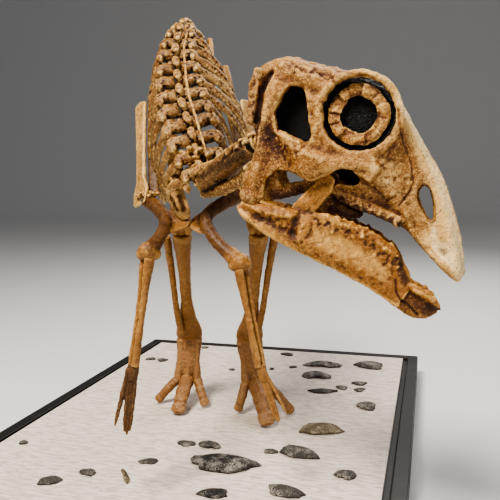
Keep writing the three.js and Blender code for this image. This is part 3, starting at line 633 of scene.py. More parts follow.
def shader_group(name: str, inputs: dict[str, str], outputs: dict[str, str]) -> tuple[bpy.types.NodeTree, Nodes]:
    """Start a shader node group with named sockets.

    Args:
        name: The group's name.
        inputs: Socket type for each input name, such as "Float" or "Color".
        outputs: Socket type for each output name.

    Returns:
        The group and its nodes.
    """
    group = bpy.data.node_groups.new(name, "ShaderNodeTree")
    for label, kind in inputs.items():
        group.interface.new_socket(label, in_out="INPUT", socket_type="NodeSocket" + kind)
    for label, kind in outputs.items():
        group.interface.new_socket(label, in_out="OUTPUT", socket_type="NodeSocket" + kind)
    return group, Nodes(group)


def bone_group() -> bpy.types.NodeTree:
    """Shader group of painted fossil bone: mottling, painted shade in crevices, rubbed ridges, cracks and pores.

    Returns:
        The group.
    """
    group, n = shader_group(
        "fossil_bone",
        {"Where": "Vector", "Pale": "Color", "Body": "Color", "StainAndShade": "Color", "Cracks": "Float",
         "Speckle": "Float", "Rub": "Float", "Grit": "Float", "Crevice": "Float"},
        {"Color": "Color", "Roughness": "Float", "Height": "Float"})
    start = n.add("NodeGroupInput").outputs
    where = start["Where"]
    # how far the surface stands out: ridges are rubbed pale, and crevices get painted shade
    wear_and_shade = n.add("Attribute", attribute_name="wear_and_shade").outputs["Fac"]
    cavity = n.add("Attribute", attribute_name="cavity").outputs["Fac"]
    tone = n.plus(n.add("Attribute", attribute_name="tone").outputs["Fac"],
                  n.times(n.less(n.noise(where, 260.0, 4.0, 0.65), 0.5), 0.9))
    broad = n.noise(where, 42.0, 4.0, 0.6)
    middle = n.noise(where, 170.0, 5.0, 0.65)
    fine = n.noise(where, 800.0, 5.0, 0.65)
    sway = n.add("TexNoise", {"Vector": where, "Scale": 120.0, "Detail": 4.0})
    warped = n.add("VectorMath", {0: where, 1: n.add("VectorMath", {0: sway.outputs["Color"], "Scale": 0.010},
                                                     operation="SCALE").outputs[0]}, operation="ADD").outputs[0]
    lines = n.add("TexVoronoi", {"Vector": warped, "Scale": 62.0}, feature="DISTANCE_TO_EDGE").outputs["Distance"]
    small = n.add("TexVoronoi", {"Vector": warped, "Scale": 240.0}, feature="DISTANCE_TO_EDGE").outputs["Distance"]
    pits = n.add("TexVoronoi", {"Vector": where, "Scale": 520.0}).outputs["Distance"]
    seam = n.times(n.band(lines, 0.016, 0.004), n.band(broad, 0.47, 0.56))
    seam = n.math("MAXIMUM", seam, n.times(n.times(n.band(small, 0.035, 0.01), 0.8),
                                          n.band(middle, 0.55, 0.66)))
    seam = n.times(seam, start["Cracks"], clamp=True)
    pore = n.times(n.band(pits, 0.26, 0.10), n.band(middle, 0.48, 0.62))
    pore = n.times(pore, start["Speckle"], clamp=True)
    color = n.mix(n.band(broad, 0.40, 0.70), start["Body"], n.mix(0.28, start["Body"], start["Pale"]))
    color = n.mix(n.times(n.band(middle, 0.46, 0.80), 0.34), color, start["StainAndShade"])
    color = n.mix(n.times(n.times(n.band(fine, 0.50, 0.78), start["Speckle"]), 0.6), color,
                  n.mix(0.5, start["Body"], start["StainAndShade"]))
    color = n.mix(n.times(n.band(tone, 0.15, 0.85), 0.85), color, start["Pale"])
    color = n.mix(n.times(n.band(tone, 0.85, 1.25), 0.8), color, (0.86, 0.68, 0.40, 1))
    color = n.mix(n.times(n.band(tone, -0.22, -0.85), 0.85), color, start["StainAndShade"])
    ridge = n.times(n.band(n.plus(wear_and_shade, n.times(fine, 0.2)), 0.68, 1.0), start["Rub"], clamp=True)
    ridge = n.times(ridge, n.less(1.0, n.times(n.band(tone, -0.3, -0.9), 0.8)))
    color = n.mix(ridge, color, start["Pale"])
    grit = n.noise(where, 1400.0, 3.0, 0.6)
    color = n.mix(n.times(n.band(grit, 0.52, 0.66), start["Grit"]), color, start["StainAndShade"])
    color = n.mix(n.times(n.band(grit, 0.47, 0.34), start["Grit"]), color, start["Pale"])
    # crevices darken toward the dark stain-and-shade colour as painted shade, less so under pale strokes
    kept = n.less(1.0, n.times(n.band(tone, 0.1, 0.6), 0.8))
    kept = n.times(kept, start["Crevice"])
    color = n.mix(n.times(n.band(wear_and_shade, 0.42, 0.08), kept), color, start["StainAndShade"])
    dark = n.mix(0.6, start["StainAndShade"], (0.010, 0.005, 0.003, 1))
    color = n.mix(n.times(n.band(tone, -0.85, -1.3), 0.9), color, dark)
    color = n.mix(n.math("MAXIMUM", n.times(seam, 0.9), n.times(pore, 0.7)), color, dark)
    # the deepest crevices go near black: painted shade
    color = n.mix(n.times(n.band(wear_and_shade, 0.12, 0.0), n.times(start["Crevice"], 0.8)), color, dark)
    inside = n.band(n.plus(cavity, n.times(n.less(middle, 0.5), 0.5)), 0.40, 0.52)
    color = n.mix(inside, color, (0.006, 0.006, 0.006, 1))
    height = n.plus(n.times(middle, 0.45), n.times(fine, 0.5))
    height = n.less(height, n.math("MAXIMUM", n.times(seam, 0.6), n.times(pore, 0.5)))
    height = n.plus(height, n.times(grit, n.plus(start["Grit"], inside)))
    rough = n.plus(n.times(middle, 0.3), 0.33)
    rough = n.times(rough, n.less(1.0, n.times(inside, 0.55)))
    n.add("NodeGroupOutput", {"Color": color, "Roughness": rough, "Height": height})
    return group


@dataclass(frozen=True)
class BonePaint:
    """The paint of one group of bones; colours are linear."""

    name: str
    pale: Triple
    body: Triple
    stain_and_shade: Triple
    cracks: float
    speckle: float
    rub: float
    relief: float  # depth of the finest unevenness, in mm
    grit: float
    # strength of the painted shade in crevices
    crevice: float = 0.85
    gloss: float = 0.35

    def build(self, group: bpy.types.NodeTree) -> bpy.types.Material:
        """Make the material.

        Args:
            group: The shared fossil bone group.

        Returns:
            The material.
        """
        material = bpy.data.materials.new(self.name)
        material.use_nodes = True
        n = Nodes(material.node_tree)
        where = n.add("TexCoord").outputs["Object"]
        bone = n.add("Group", node_tree=group)
        n.tree.links.new(where, bone.inputs["Where"])
        for label, value in (("Pale", self.pale), ("Body", self.body), ("StainAndShade", self.stain_and_shade)):
            bone.inputs[label].default_value = (*value, 1)
        for label, value in (("Cracks", self.cracks), ("Speckle", self.speckle), ("Rub", self.rub),
                             ("Grit", self.grit), ("Crevice", self.crevice)):
            bone.inputs[label].default_value = value
        n.surface(bone.outputs["Color"], bone.outputs["Roughness"], bone.outputs["Height"], (0.85, self.relief * MM),
                  {"Specular IOR Level": self.gloss})
        return material


class Finish(Enum):
    """The paints of the cast."""

    SKULL = BonePaint("skull_paint", (0.69, 0.45, 0.18), (0.28, 0.121, 0.031), (0.088, 0.023, 0.005), 0.5, 0.5, 0.55,
                      0.9, 0.62)
    JAW = BonePaint("jaw_paint", (0.68, 0.41, 0.135), (0.26, 0.108, 0.026), (0.060, 0.015, 0.003), 0.5, 0.35, 0.55,
                    0.75, 0.32)
    PALE = BonePaint("ivory_paint", (0.74, 0.53, 0.25), (0.39, 0.225, 0.080), (0.14, 0.045, 0.012), 0.4, 0.5, 0.6,
                     0.6, 0.25)
    # crevice 1.4 gives the back, ribs and tail the strongest painted shade in their crevices
    SPINE = BonePaint("spine_paint", (0.70, 0.49, 0.22), (0.215, 0.100, 0.032), (0.030, 0.010, 0.003), 0.4, 0.5, 0.9,
                      0.7, 0.25, 1.4)
    LIMB = BonePaint("limb_paint", (0.52, 0.31, 0.115), (0.28, 0.135, 0.043), (0.085, 0.032, 0.011), 0.3, 0.1, 0.5,
                     0.4, 0.15, 0.35)
    DARK = BonePaint("dark_limb_paint", (0.32, 0.185, 0.080), (0.105, 0.050, 0.020), (0.022, 0.009, 0.003), 0.4, 0.3,
                     0.7, 0.5, 0.2, 0.5)
    FOOT = BonePaint("foot_paint", (0.50, 0.30, 0.140), (0.28, 0.142, 0.058), (0.085, 0.034, 0.013), 0.4, 0.1, 0.5,
                     0.4, 0.15, 0.4)


class Workshop:
    """Turns fused meshes into pieces of the display and reports them."""

    def __init__(self, nodes: dict[str, bpy.types.Object]) -> None:
        """Build the shared finishes.

        Args:
            nodes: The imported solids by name.
        """
        self.nodes = nodes
        group = bone_group()
        self.paints = {finish: finish.value.build(group) for finish in Finish}

    def place(self, name: str, mesh: bpy.types.Mesh, material: bpy.types.Material, slot: str,
              replaced: Sequence[str] = (), smooth: bool = True) -> None:
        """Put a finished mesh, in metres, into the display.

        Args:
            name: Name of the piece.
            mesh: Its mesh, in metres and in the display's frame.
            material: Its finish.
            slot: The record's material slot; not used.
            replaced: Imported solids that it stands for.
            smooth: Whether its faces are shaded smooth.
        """
        mesh.name = name
        mesh.materials.clear()
        mesh.materials.append(material)
        if smooth:
            mesh.shade_smooth()
        else:
            mesh.shade_flat()
        piece = link(name, mesh)
        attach(piece, "root")
        if replaced:
            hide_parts(*replaced)
        LOG.info("%s: %d faces", name, len(mesh.polygons))

    def cast(self, name: str, mesh: bpy.types.Mesh, finish: Finish, slot: str, *replaced: str) -> None:
        """Paint a fused bone and set it on the stand.

        Args:
            name: Name of the piece.
            mesh: The fused mesh in millimetres, in the skeleton's frame.
            finish: Its paint.
            slot: The record's material slot.
            replaced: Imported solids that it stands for.
        """
        Skin(mesh).wear_and_shade()
        mesh.transform(Matrix.Scale(MM, 4) @ STAND)
        self.place(name, mesh, self.paints[finish], slot, replaced)


# ---------------------------------------------------------------- skull and lower jaw
@dataclass
class Skull:
    """The skull, in a frame with X to the snout, Y to its left, Z up and its origin between the orbits."""

    orbit: float = 17.0  # radius
    orbit_floor: float = 13.5  # distance from the mid-plane
    teeth: int = 15
    rear_bumps: int = 11
    plates: int = 12  # in one ring of the eye
    stations: Sequence[Triple] = (  # x, top, bottom, half width of roof, of cheek and of lower edge
        (-54.5, -7, -16, 7, 11, 8), (-51, 1.5, -22, 10, 16, 11), (-45, 6, -29, 13, 18, 13),
        (-34, 8.5, -34, 14, 18.5, 15), (-22, 13, -35, 14.5, 19, 15), (-10, 19, -36, 15, 20.5, 14),
        (2, 20, -37, 15, 20.5, 13), (14, 15.5, -38.5, 12.5, 18, 12), (24, 10, -36.5, 9, 14, 10.5),
        (36, 4, -33.2, 6.2, 9.8, 8.5), (50, -4.2, -33, 4.9, 7.6, 7.5), (64, -16.5, -37, 5.2, 8.4, 8.6),
        (75, -26.5, -39.6, 5.2, 8.6, 8.8), (80, -31.8, -40.4, 4.4, 7.2, 7), (83, -35.6, -40.6, 2.6, 4, 4))
    cheek: Sequence[Row] = (
        (-44, -8), (-44, -15), (-37.5, -28), (-31, -41), (-28, -50), (-27, -59), (-23, -64.5), (-17.5, -62),
        (-16.5, -56), (-20.5, -48), (-18.5, -42), (-11.5, -38.5), (-3, -38.5), (2.5, -34), (5.5, -25.5),
        (13.5, -22.5), (22, -23.6), (22, -14), (0, -8), (-25, -4))
    cheek_gap: Sequence[Row] = (
        (-16, -80), (-17, -45), (-11, -42), (-2, -38.5), (3.6, -31), (6, -25.2), (11, -22.6), (15.5, -23.4),
        (17, -27), (13, -29.5), (8.4, -31.5), (6.4, -36), (9, -38.4), (19, -39), (28, -36.8), (36, -34), (44, -34.6),
        (46, -80))
    palate: Sequence[Row] = ((-44, -60), (-43, -28), (-20, -24), (8, -29), (12, -60))
    temple: Sequence[Row] = (
        (-34.5, -5.5), (-28.5, -3), (-24, -7), (-18, -14.5), (-12.2, -19.5), (-12, -23), (-29, -25.5),
        (-34, -19.5), (-35.2, -11))
    notch: Sequence[Row] = ((3.4, -30), (6, -25.4), (11, -22.6), (16, -23.6), (16.5, -27), (9, -30))
    naris: Sequence[Row] = (
        (42.2, -10.2), (46.5, -10.4), (52, -15.5), (57.6, -23.2), (54.5, -22.8), (48.5, -19.5), (43.8, -15.8))

    def vault(self) -> Clay:
        """The closed body of the skull from its stations.

        Returns:
            Its lump.
        """
        rows = np.array(self.stations)

        def corner(x: float, turn: float) -> Triple:
            """Place on the skull's wall.

            Args:
                x: X of the section.
                turn: Turn round it from its top.

            Returns:
                The corner.
            """
            top, bottom, roof, wall, sole = (float(np.interp(x, rows[:, 0], rows[:, k])) for k in range(1, 6))
            up, out = math.cos(turn), math.sin(turn)
            width = lerp(wall, roof if up > 0 else sole, up ** 2)
            return (x, math.copysign(abs(out) ** 0.6, out) * width,
                    (top + bottom) / 2 + math.copysign(abs(up) ** 0.75, up) * (top - bottom) / 2)

        marks = np.unique(np.concatenate([rows[:, 0], np.linspace(rows[0, 0], rows[-1, 0], 46)]))
        return Clay(SKULL_FRAME).loft(marks, 28, corner)

    def ridges(self, clay: Clay) -> Clay:
        """Add the bars, rims and swellings of both sides.

        Args:
            clay: The skull's body.

        Returns:
            The same lump.
        """
        clay.tube([(16, 0, 9), (33, 0, 1.6), (50, 0, -7), (66, 0, -19.5), (77, 0, -30), (82, 0, -36)],
                  [(0, 3, 4), (0.5, 3.2, 3), (1, 2.6, 2)], (0, 1, 0))
        clay.tube([(-52, 0, -4), (-46, 0, 4), (-34, 0, 7), (-20, 0, 11)], [(0, 3, 2), (0.5, 3, 3), (1, 5, 4)],
                  (0, 1, 0))
        for side in (-1, 1):
            clay.slab(self.cheek, side * 14.6, side * 19.2)
            rim = [(18.6 * math.cos(a), side * (17.8 - 1.6 * math.cos(a)), 17.6 * math.sin(a))
                   for a in np.linspace(math.radians(-60), math.radians(215), 12)]
            clay.tube(rim, [(0, 1.8, 2.4), (0.5, 2.2, 2.8), (1, 1.8, 2.4)], (0, side, 0))
            clay.tube([(-40, side * 16.6, -8), (-37, side * 17.5, -24), (-29.5, side * 17.5, -38),
                       (-25.4, side * 17.3, -50), (-22.4, side * 17.2, -59)],
                      [(0, 3, 3.4), (0.3, 3.2, 4.4), (0.7, 3.4, 4.0), (1, 4, 5.2)], (0, side, 0))
            clay.ball((-22.6, side * 17.3, -59.4), (5.4, 4.6, 5.2)).ball((-26.6, side * 17.6, -52), (4.6, 3.6, 5))
            clay.tube([(-24, side * 18, -27.5), (-10, side * 18.7, -30), (0, side * 18.8, -27), (12, side * 18, -21),
                       (22, side * 14.5, -19)], [(0, 2.6, 5), (0.35, 3, 6.4), (0.6, 2.8, 4), (1, 2.2, 3.2)],
                      (0, side, 0))
            clay.ball((-7, side * 18.6, -33), (7.4, 2.7, 4.2))
            clay.tube([(-44, side * 14, -2), (-30, side * 16.6, 1.5), (-18, side * 17, 1.5)],
                      [(0, 3.4, 4), (0.5, 3, 4.4), (1, 2.4, 4)], (0, side, 0))
            clay.tube([(-49.5, side * 14.4, -9), (-47.6, side * 16.6, -17), (-41.5, side * 17.6, -28)],
                      [(0, 2.2, 2.8), (0.4, 3, 3.2), (1, 1.8, 1.8)], (0, side, 0))
            for k in range(self.rear_bumps):
                share = k / (self.rear_bumps - 1)
                clay.ball((lerp(-51, -41, share) + 0.8 * math.sin(k * 2.1), side * (17.4 + 1.4 * share),
                           lerp(-8, -29, share)), (2.7 + 0.6 * math.sin(k * 3.3), 2.4, 1.9))
            clay.tube([(63, side * 6.6, -33.5), (72, side * 8.2, -35.8), (80, side * 6.2, -38)],
                      [(0, 2, 2.4), (0.5, 2.4, 2.8), (1, 1.8, 2)], (0, side, 0))
        return clay

    def hollows(self) -> Clay:
        """Everything that is cut away.

        Returns:
            Its lumps.
        """
        clay = Clay(SKULL_FRAME)
        for side in (-1, 1):
            clay.tube([(0, side * self.orbit_floor, 0), (0, side * 40, 0)],
                      [(0, self.orbit * 0.92, self.orbit * 0.92), (0.25, self.orbit, self.orbit), (1, 22, 22)],
                      (1, 0, 0), 32, 3)
            clay.slab(self.temple, side * 11.5, side * 40)
            clay.slab(self.cheek_gap, side * 9.5, side * 40)
        clay.slab(self.naris, -20, 20)
        clay.slab(self.palate, -11.5, 11.5)
        return clay

    def strokes(self) -> list[Stroke]:
        """Sutures, hollows, ridges, tints and painted shade that are worked into the fused skull.

        Returns:
            The strokes.
        """
        return [
            Stroke([(14, 11), (18.6, 5.6), (25, 0), (33.4, -6), (38.5, -12.5), (39.4, -17), (39, -25)], 0.55, -0.7, 3,
                   -0.7),
            Stroke([(12, -23), (19, -19), (23, -12), (21, -5), (24, 1)], 0.7, -0.3),
            Stroke([(-16, -20), (-13, -26), (-15, -34), (-13, -40)], 0.7, -0.35, tone=-0.3),
            Stroke([(-17, 6), (-22, 9), (-30, 4), (-39, 3)], 0.8, -0.5, 3, -0.5),
            Stroke([(-6, 16), (-14, 13), (-22, 12)], 0.7, -0.4, 3, -0.4),
            Stroke([(-46, -5), (-44.4, -15), (-38.4, -27.5)], 1.3, -2.4, 4, -1.6),
            Stroke([(-38.4, -27.5), (-35, -34), (-33, -40)], 1.0, -0.6, 4, -0.5),
            Stroke([(-51, -8), (-48.4, -17), (-42, -29)], 2.8, 0.2, tone=-0.65),
            Stroke([(-41, -8), (-38, -20), (-32, -34)], 2.0, 0.3, tone=0.4),
            Stroke([(33, -27), (36, -19), (43, -22)], 0.7, -0.4, 3, -0.3),
            Stroke([(44, -14), (52, -20), (60, -28), (69, -32)], 4.6, -1.1, 2, 0.8),
            Stroke([(57, -24), (63, -29), (68, -31)], 2.2, -0.5, 2, 0.3),
            Stroke([(42, -12), (44, -17), (50, -22), (57, -27)], 1.4, -0.2, 2, -0.5),
            Stroke([(26, -8), (30, -14), (28, -20)], 4.5, -0.5, 4, 0.15),
            Stroke([(22, 8), (36, -1.5), (48, -9), (58, -16), (70, -27), (79, -36)], 1.8, 0.7, 2),
            Stroke([(43, -26), (50, -31), (58, -34), (70, -36.5), (80, -38.5)], 1.6, 0.8, 2, 0.3),
            Stroke([(-24, -27), (-12, -29), (-2, -25), (8, -19), (20, -17)], 2.2, 0.8, tone=0.1),
            Stroke([(-16, -35), (-8, -36), (0, -33), (5, -25)], 3.2, 0.2, tone=0.35),
            Stroke([(-31, -31), (-22, -33), (-16, -36)], 4.0, -0.7, tone=-0.3),
            Stroke([(-11, -3), (-14, -12), (-12, -20)], 2.2, 0.7, tone=0.0),
            Stroke([(62, -33.6), (72, -36.4), (81, -39.6)], 1.0, -0.4, 2, -0.9),
            Stroke([(-30, 7), (-40, 5.5), (-47, 1)], 2.0, 0.7, 3),
            Stroke([(14, 17), (24, 9.5), (36, 2), (50, -6), (64, -18), (75, -28), (82, -36)], 5.0, 0.0, 0, 1.3),
            Stroke([(-52, -2), (-44, 6), (-34, 8), (-22, 12), (-8, 19), (4, 19)], 3.0, 0.0, 0, 0.4),
            Stroke([(58, -33), (70, -35), (80, -38)], 4.0, 0.0, 0, 0.6),
            Stroke([(-33, -30), (-29, -38), (-25, -50), (-23, -60)], 7.0, 0.0, 0, -0.6),
            Stroke([(-27, -45), (-25, -54)], 1.6, 0.3, 0, 0.7),
            Stroke([(-12, 17), (-2, 21), (8, 20), (16, 14)], 3.0, 0.0, 0, 0.8),
            *gravel((-33, -28), (-14, -32), 5.0, 44, 0.3, 0.5), *gravel((19, -5), (36, -21), 6.0, 40),
            *gravel((14, -36.5), (45, -33), 2.2, 36, 0.5, 0.7), *gravel((-48, 0), (-20, 10), 5.0, 36),
            *gravel((-50, -8), (-42, -28), 2.4, 20), *gravel((-18, -4), (-14, -22), 4.0, 20),
            Stroke([(-35, -24), (-27, -31), (-17, -34)], 5.5, 0.0, 0, -0.4),
            Stroke([(-33, -22), (-28, -27.4), (-16, -25.4)], 0.8, 0.5, 0, 0.7),
            Stroke([(-42, 2), (-28, 8), (-10, 12), (4, 16)], 5.0, 0.0, 0, -0.6),
            # dark line along the maxilla's lower edge: painted shade under the tooth row
            Stroke([(12, -38.5), (20, -37), (30, -34.6), (38, -33), (48, -33.6), (58, -36)], 2.6, 0.0, 2, -1.2),
            Stroke([(13, -31.5), (22, -29.5), (33, -27.5)], 3.4, -0.6, 4, -0.3),
            # brown at the rear of the plate under the tooth row: the jaw's inner side darkened with painted shade
            Stroke([(2, -43), (10, -44)], 5.0, 0.0, 3, -0.6),
            # near black between the quadrate and the coronoid: painted shade of the recess
            Stroke([(-4, -45), (-8, -50), (-13, -53)], 3.4, 0.0, 0, -1.3),
            # near-black band below the tooth row: painted shade of the mouth gap
            Stroke([(14, -43.6), (20, -42.4), (28, -39.4)], 2.6, 0.0, 2, -1.3),
            Stroke([(17, -25), (24, -24.5), (31, -25.4)], 1.6, -0.9, 4, -0.5),
            Stroke([(20, -14), (28, -17), (33, -24)], 6.0, 0.0, 0, 0.5),
            Stroke([(-20, -32), (-10, -34), (0, -31)], 4.0, 0.0, 0, -0.2),
            Stroke([(-26, -30), (-36, -26), (-38, -14)], 5.0, 0.0, 0, -0.2),
        ]

    def build(self, shop: Workshop) -> None:
        """Make the skull and its two rings of eye plates.

        Args:
            shop: The workshop.
        """
        mesh = self.ridges(self.vault()).fuse(0.8, 1, (), [self.hollows()])
        lump = Clay()
        lump.bm.from_mesh(mesh)
        bpy.data.meshes.remove(mesh)
        lump.place = SKULL_FRAME
        lump.tube([(-34, 0, -16), (-36.5, 0, -36.5)], [(0, 4, 4), (0.8, 3, 3), (1, 3.4, 3.4)]).ball(
            (-36.5, 0, -36.5), 4)
        for side in (-1, 1):
            lump.tube([(-24, side * 13, -42), (-19, side * 13.4, -48), (-13, side * 12.2, -51), (-8, side * 10, -46),
                       (0, side * 9.5, -38)],
                      [(0, 1.4, 4), (0.4, 1.2, 4.4), (0.7, 1.2, 3.4), (1, 1.2, 3)], (0, side, 0))
            lump.tube([(8, side * 8.6, -34.6), (13, side * 8.8, -34.6), (19, side * 9, -34.4), (28, side * 8.8, -32.6),
                       (38, side * 7.8, -31.4), (45, side * 6.8, -31)],
                      [(0, 1.2, 2.4), (0.2, 2.4, 3.6), (0.6, 2.4, 3.4), (1, 1.2, 2.4)], (0, side, 0))
            # thin plate below the tooth row that the strokes paint near black: painted shade filling the mouth gap
            lump.tube([(3, side * 7, -40), (10, side * 7, -43), (18, side * 6.5, -42), (27, side * 6, -38.6)],
                      [(0, 1.2, 4), (0.35, 1.2, 5), (0.65, 1.2, 3.6), (1, 1, 1.6)], (0, side, 0))
            for k in range(self.teeth):
                x = lerp(16, 43, k / (self.teeth - 1))
                z = float(np.interp(x, (13, 19, 28, 38, 45), (-38.6, -38.8, -36.6, -34.6, -33.6)))
                lump.tube([(x - 0.4, side * 10, z + 5.4), (x + 0.3, side * 10.6, z + 0.3)],
                          [(0, 0.9, 0.9), (0.6, 0.95, 0.95), (1, 0.6, 0.6)], (1, 0, 0), 8, 3)
        mesh = lump.fuse(0.75, 2, ((5.5, 0.9), (2.1, 0.7), (1.0, 0.4)))
        Skin(mesh).strokes(SKULL_FRAME, self.strokes()).cavities(SKULL_FRAME, [self.temple, self.notch],
                                                                 self.orbit + 0.5)
        shop.cast("skull_cast", mesh, Finish.SKULL, "skull_bone", "skull")
        for word, side in SIDES:
            self.ring(shop, word, side)

    def ring(self, shop: Workshop, word: str, side: int) -> None:
        """The ring of overlapping plates in one orbit.

        Args:
            shop: The workshop.
            word: "right" or "left".
            side: -1 on the right, 1 on the left.
        """
        clay = Clay(SKULL_FRAME)
        base = self.orbit_floor + 0.3
        for k in range(self.plates):
            sway, lift = math.sin(k * 2.3), 0.5 * math.sin(k * 2.6)
            middle = 11.2 + 0.3 * math.sin(k * 1.9)
            rows = []
            for share in np.linspace(-0.74, 0.74, 6):
                a = 2 * math.pi * (k + share + 0.16 * sway) / self.plates
                rows.append((middle * math.cos(a), side * (base + 2.2 + lift * 0.5 + share * 1.2),
                             middle * math.sin(a)))
            wide = 3.1 + 0.3 * sway
            clay.tube(rows, [(0, 0.45, wide * 0.9), (0.15, 0.6, wide), (0.85, 0.7, wide), (1, 0.5, wide * 0.92)],
                      (0, side, 0), 14)
        clay.tube([(12.4 * math.cos(a), side * (base + 1.1), 12.4 * math.sin(a))
                   for a in np.linspace(0, 2 * math.pi, 25)], [(0, 1.1, 1.6), (1, 1.1, 1.6)], (0, side, 0), 8)
        mesh = clay.fuse(0.4, 1, ((2.6, 0.5), (1.1, 0.35)))
        rust = []
        for turn, reach in ((0.4, 9), (1.5, 13.5), (2.3, 9.4), (3.2, 13.6), (3.9, 11), (4.8, 9), (5.5, 13), (5.9, 10)):
            rust.append(Stroke([(reach * math.cos(turn + d), reach * math.sin(turn + d)) for d in (-0.22, 0, 0.22)],
                               1.1, -0.15, tone=-0.9))
            rust.append(Stroke([(11 * math.cos(turn + d), 11 * math.sin(turn + d)) for d in (0.3, 0.45, 0.6)], 1.6, 0.0,
                               tone=0.6))
        Skin(mesh).strokes(SKULL_FRAME, rust)
        shop.cast(f"eye_plates_{word}", mesh, Finish.SKULL, "pale_bone", f"scleral_ring_{word}")


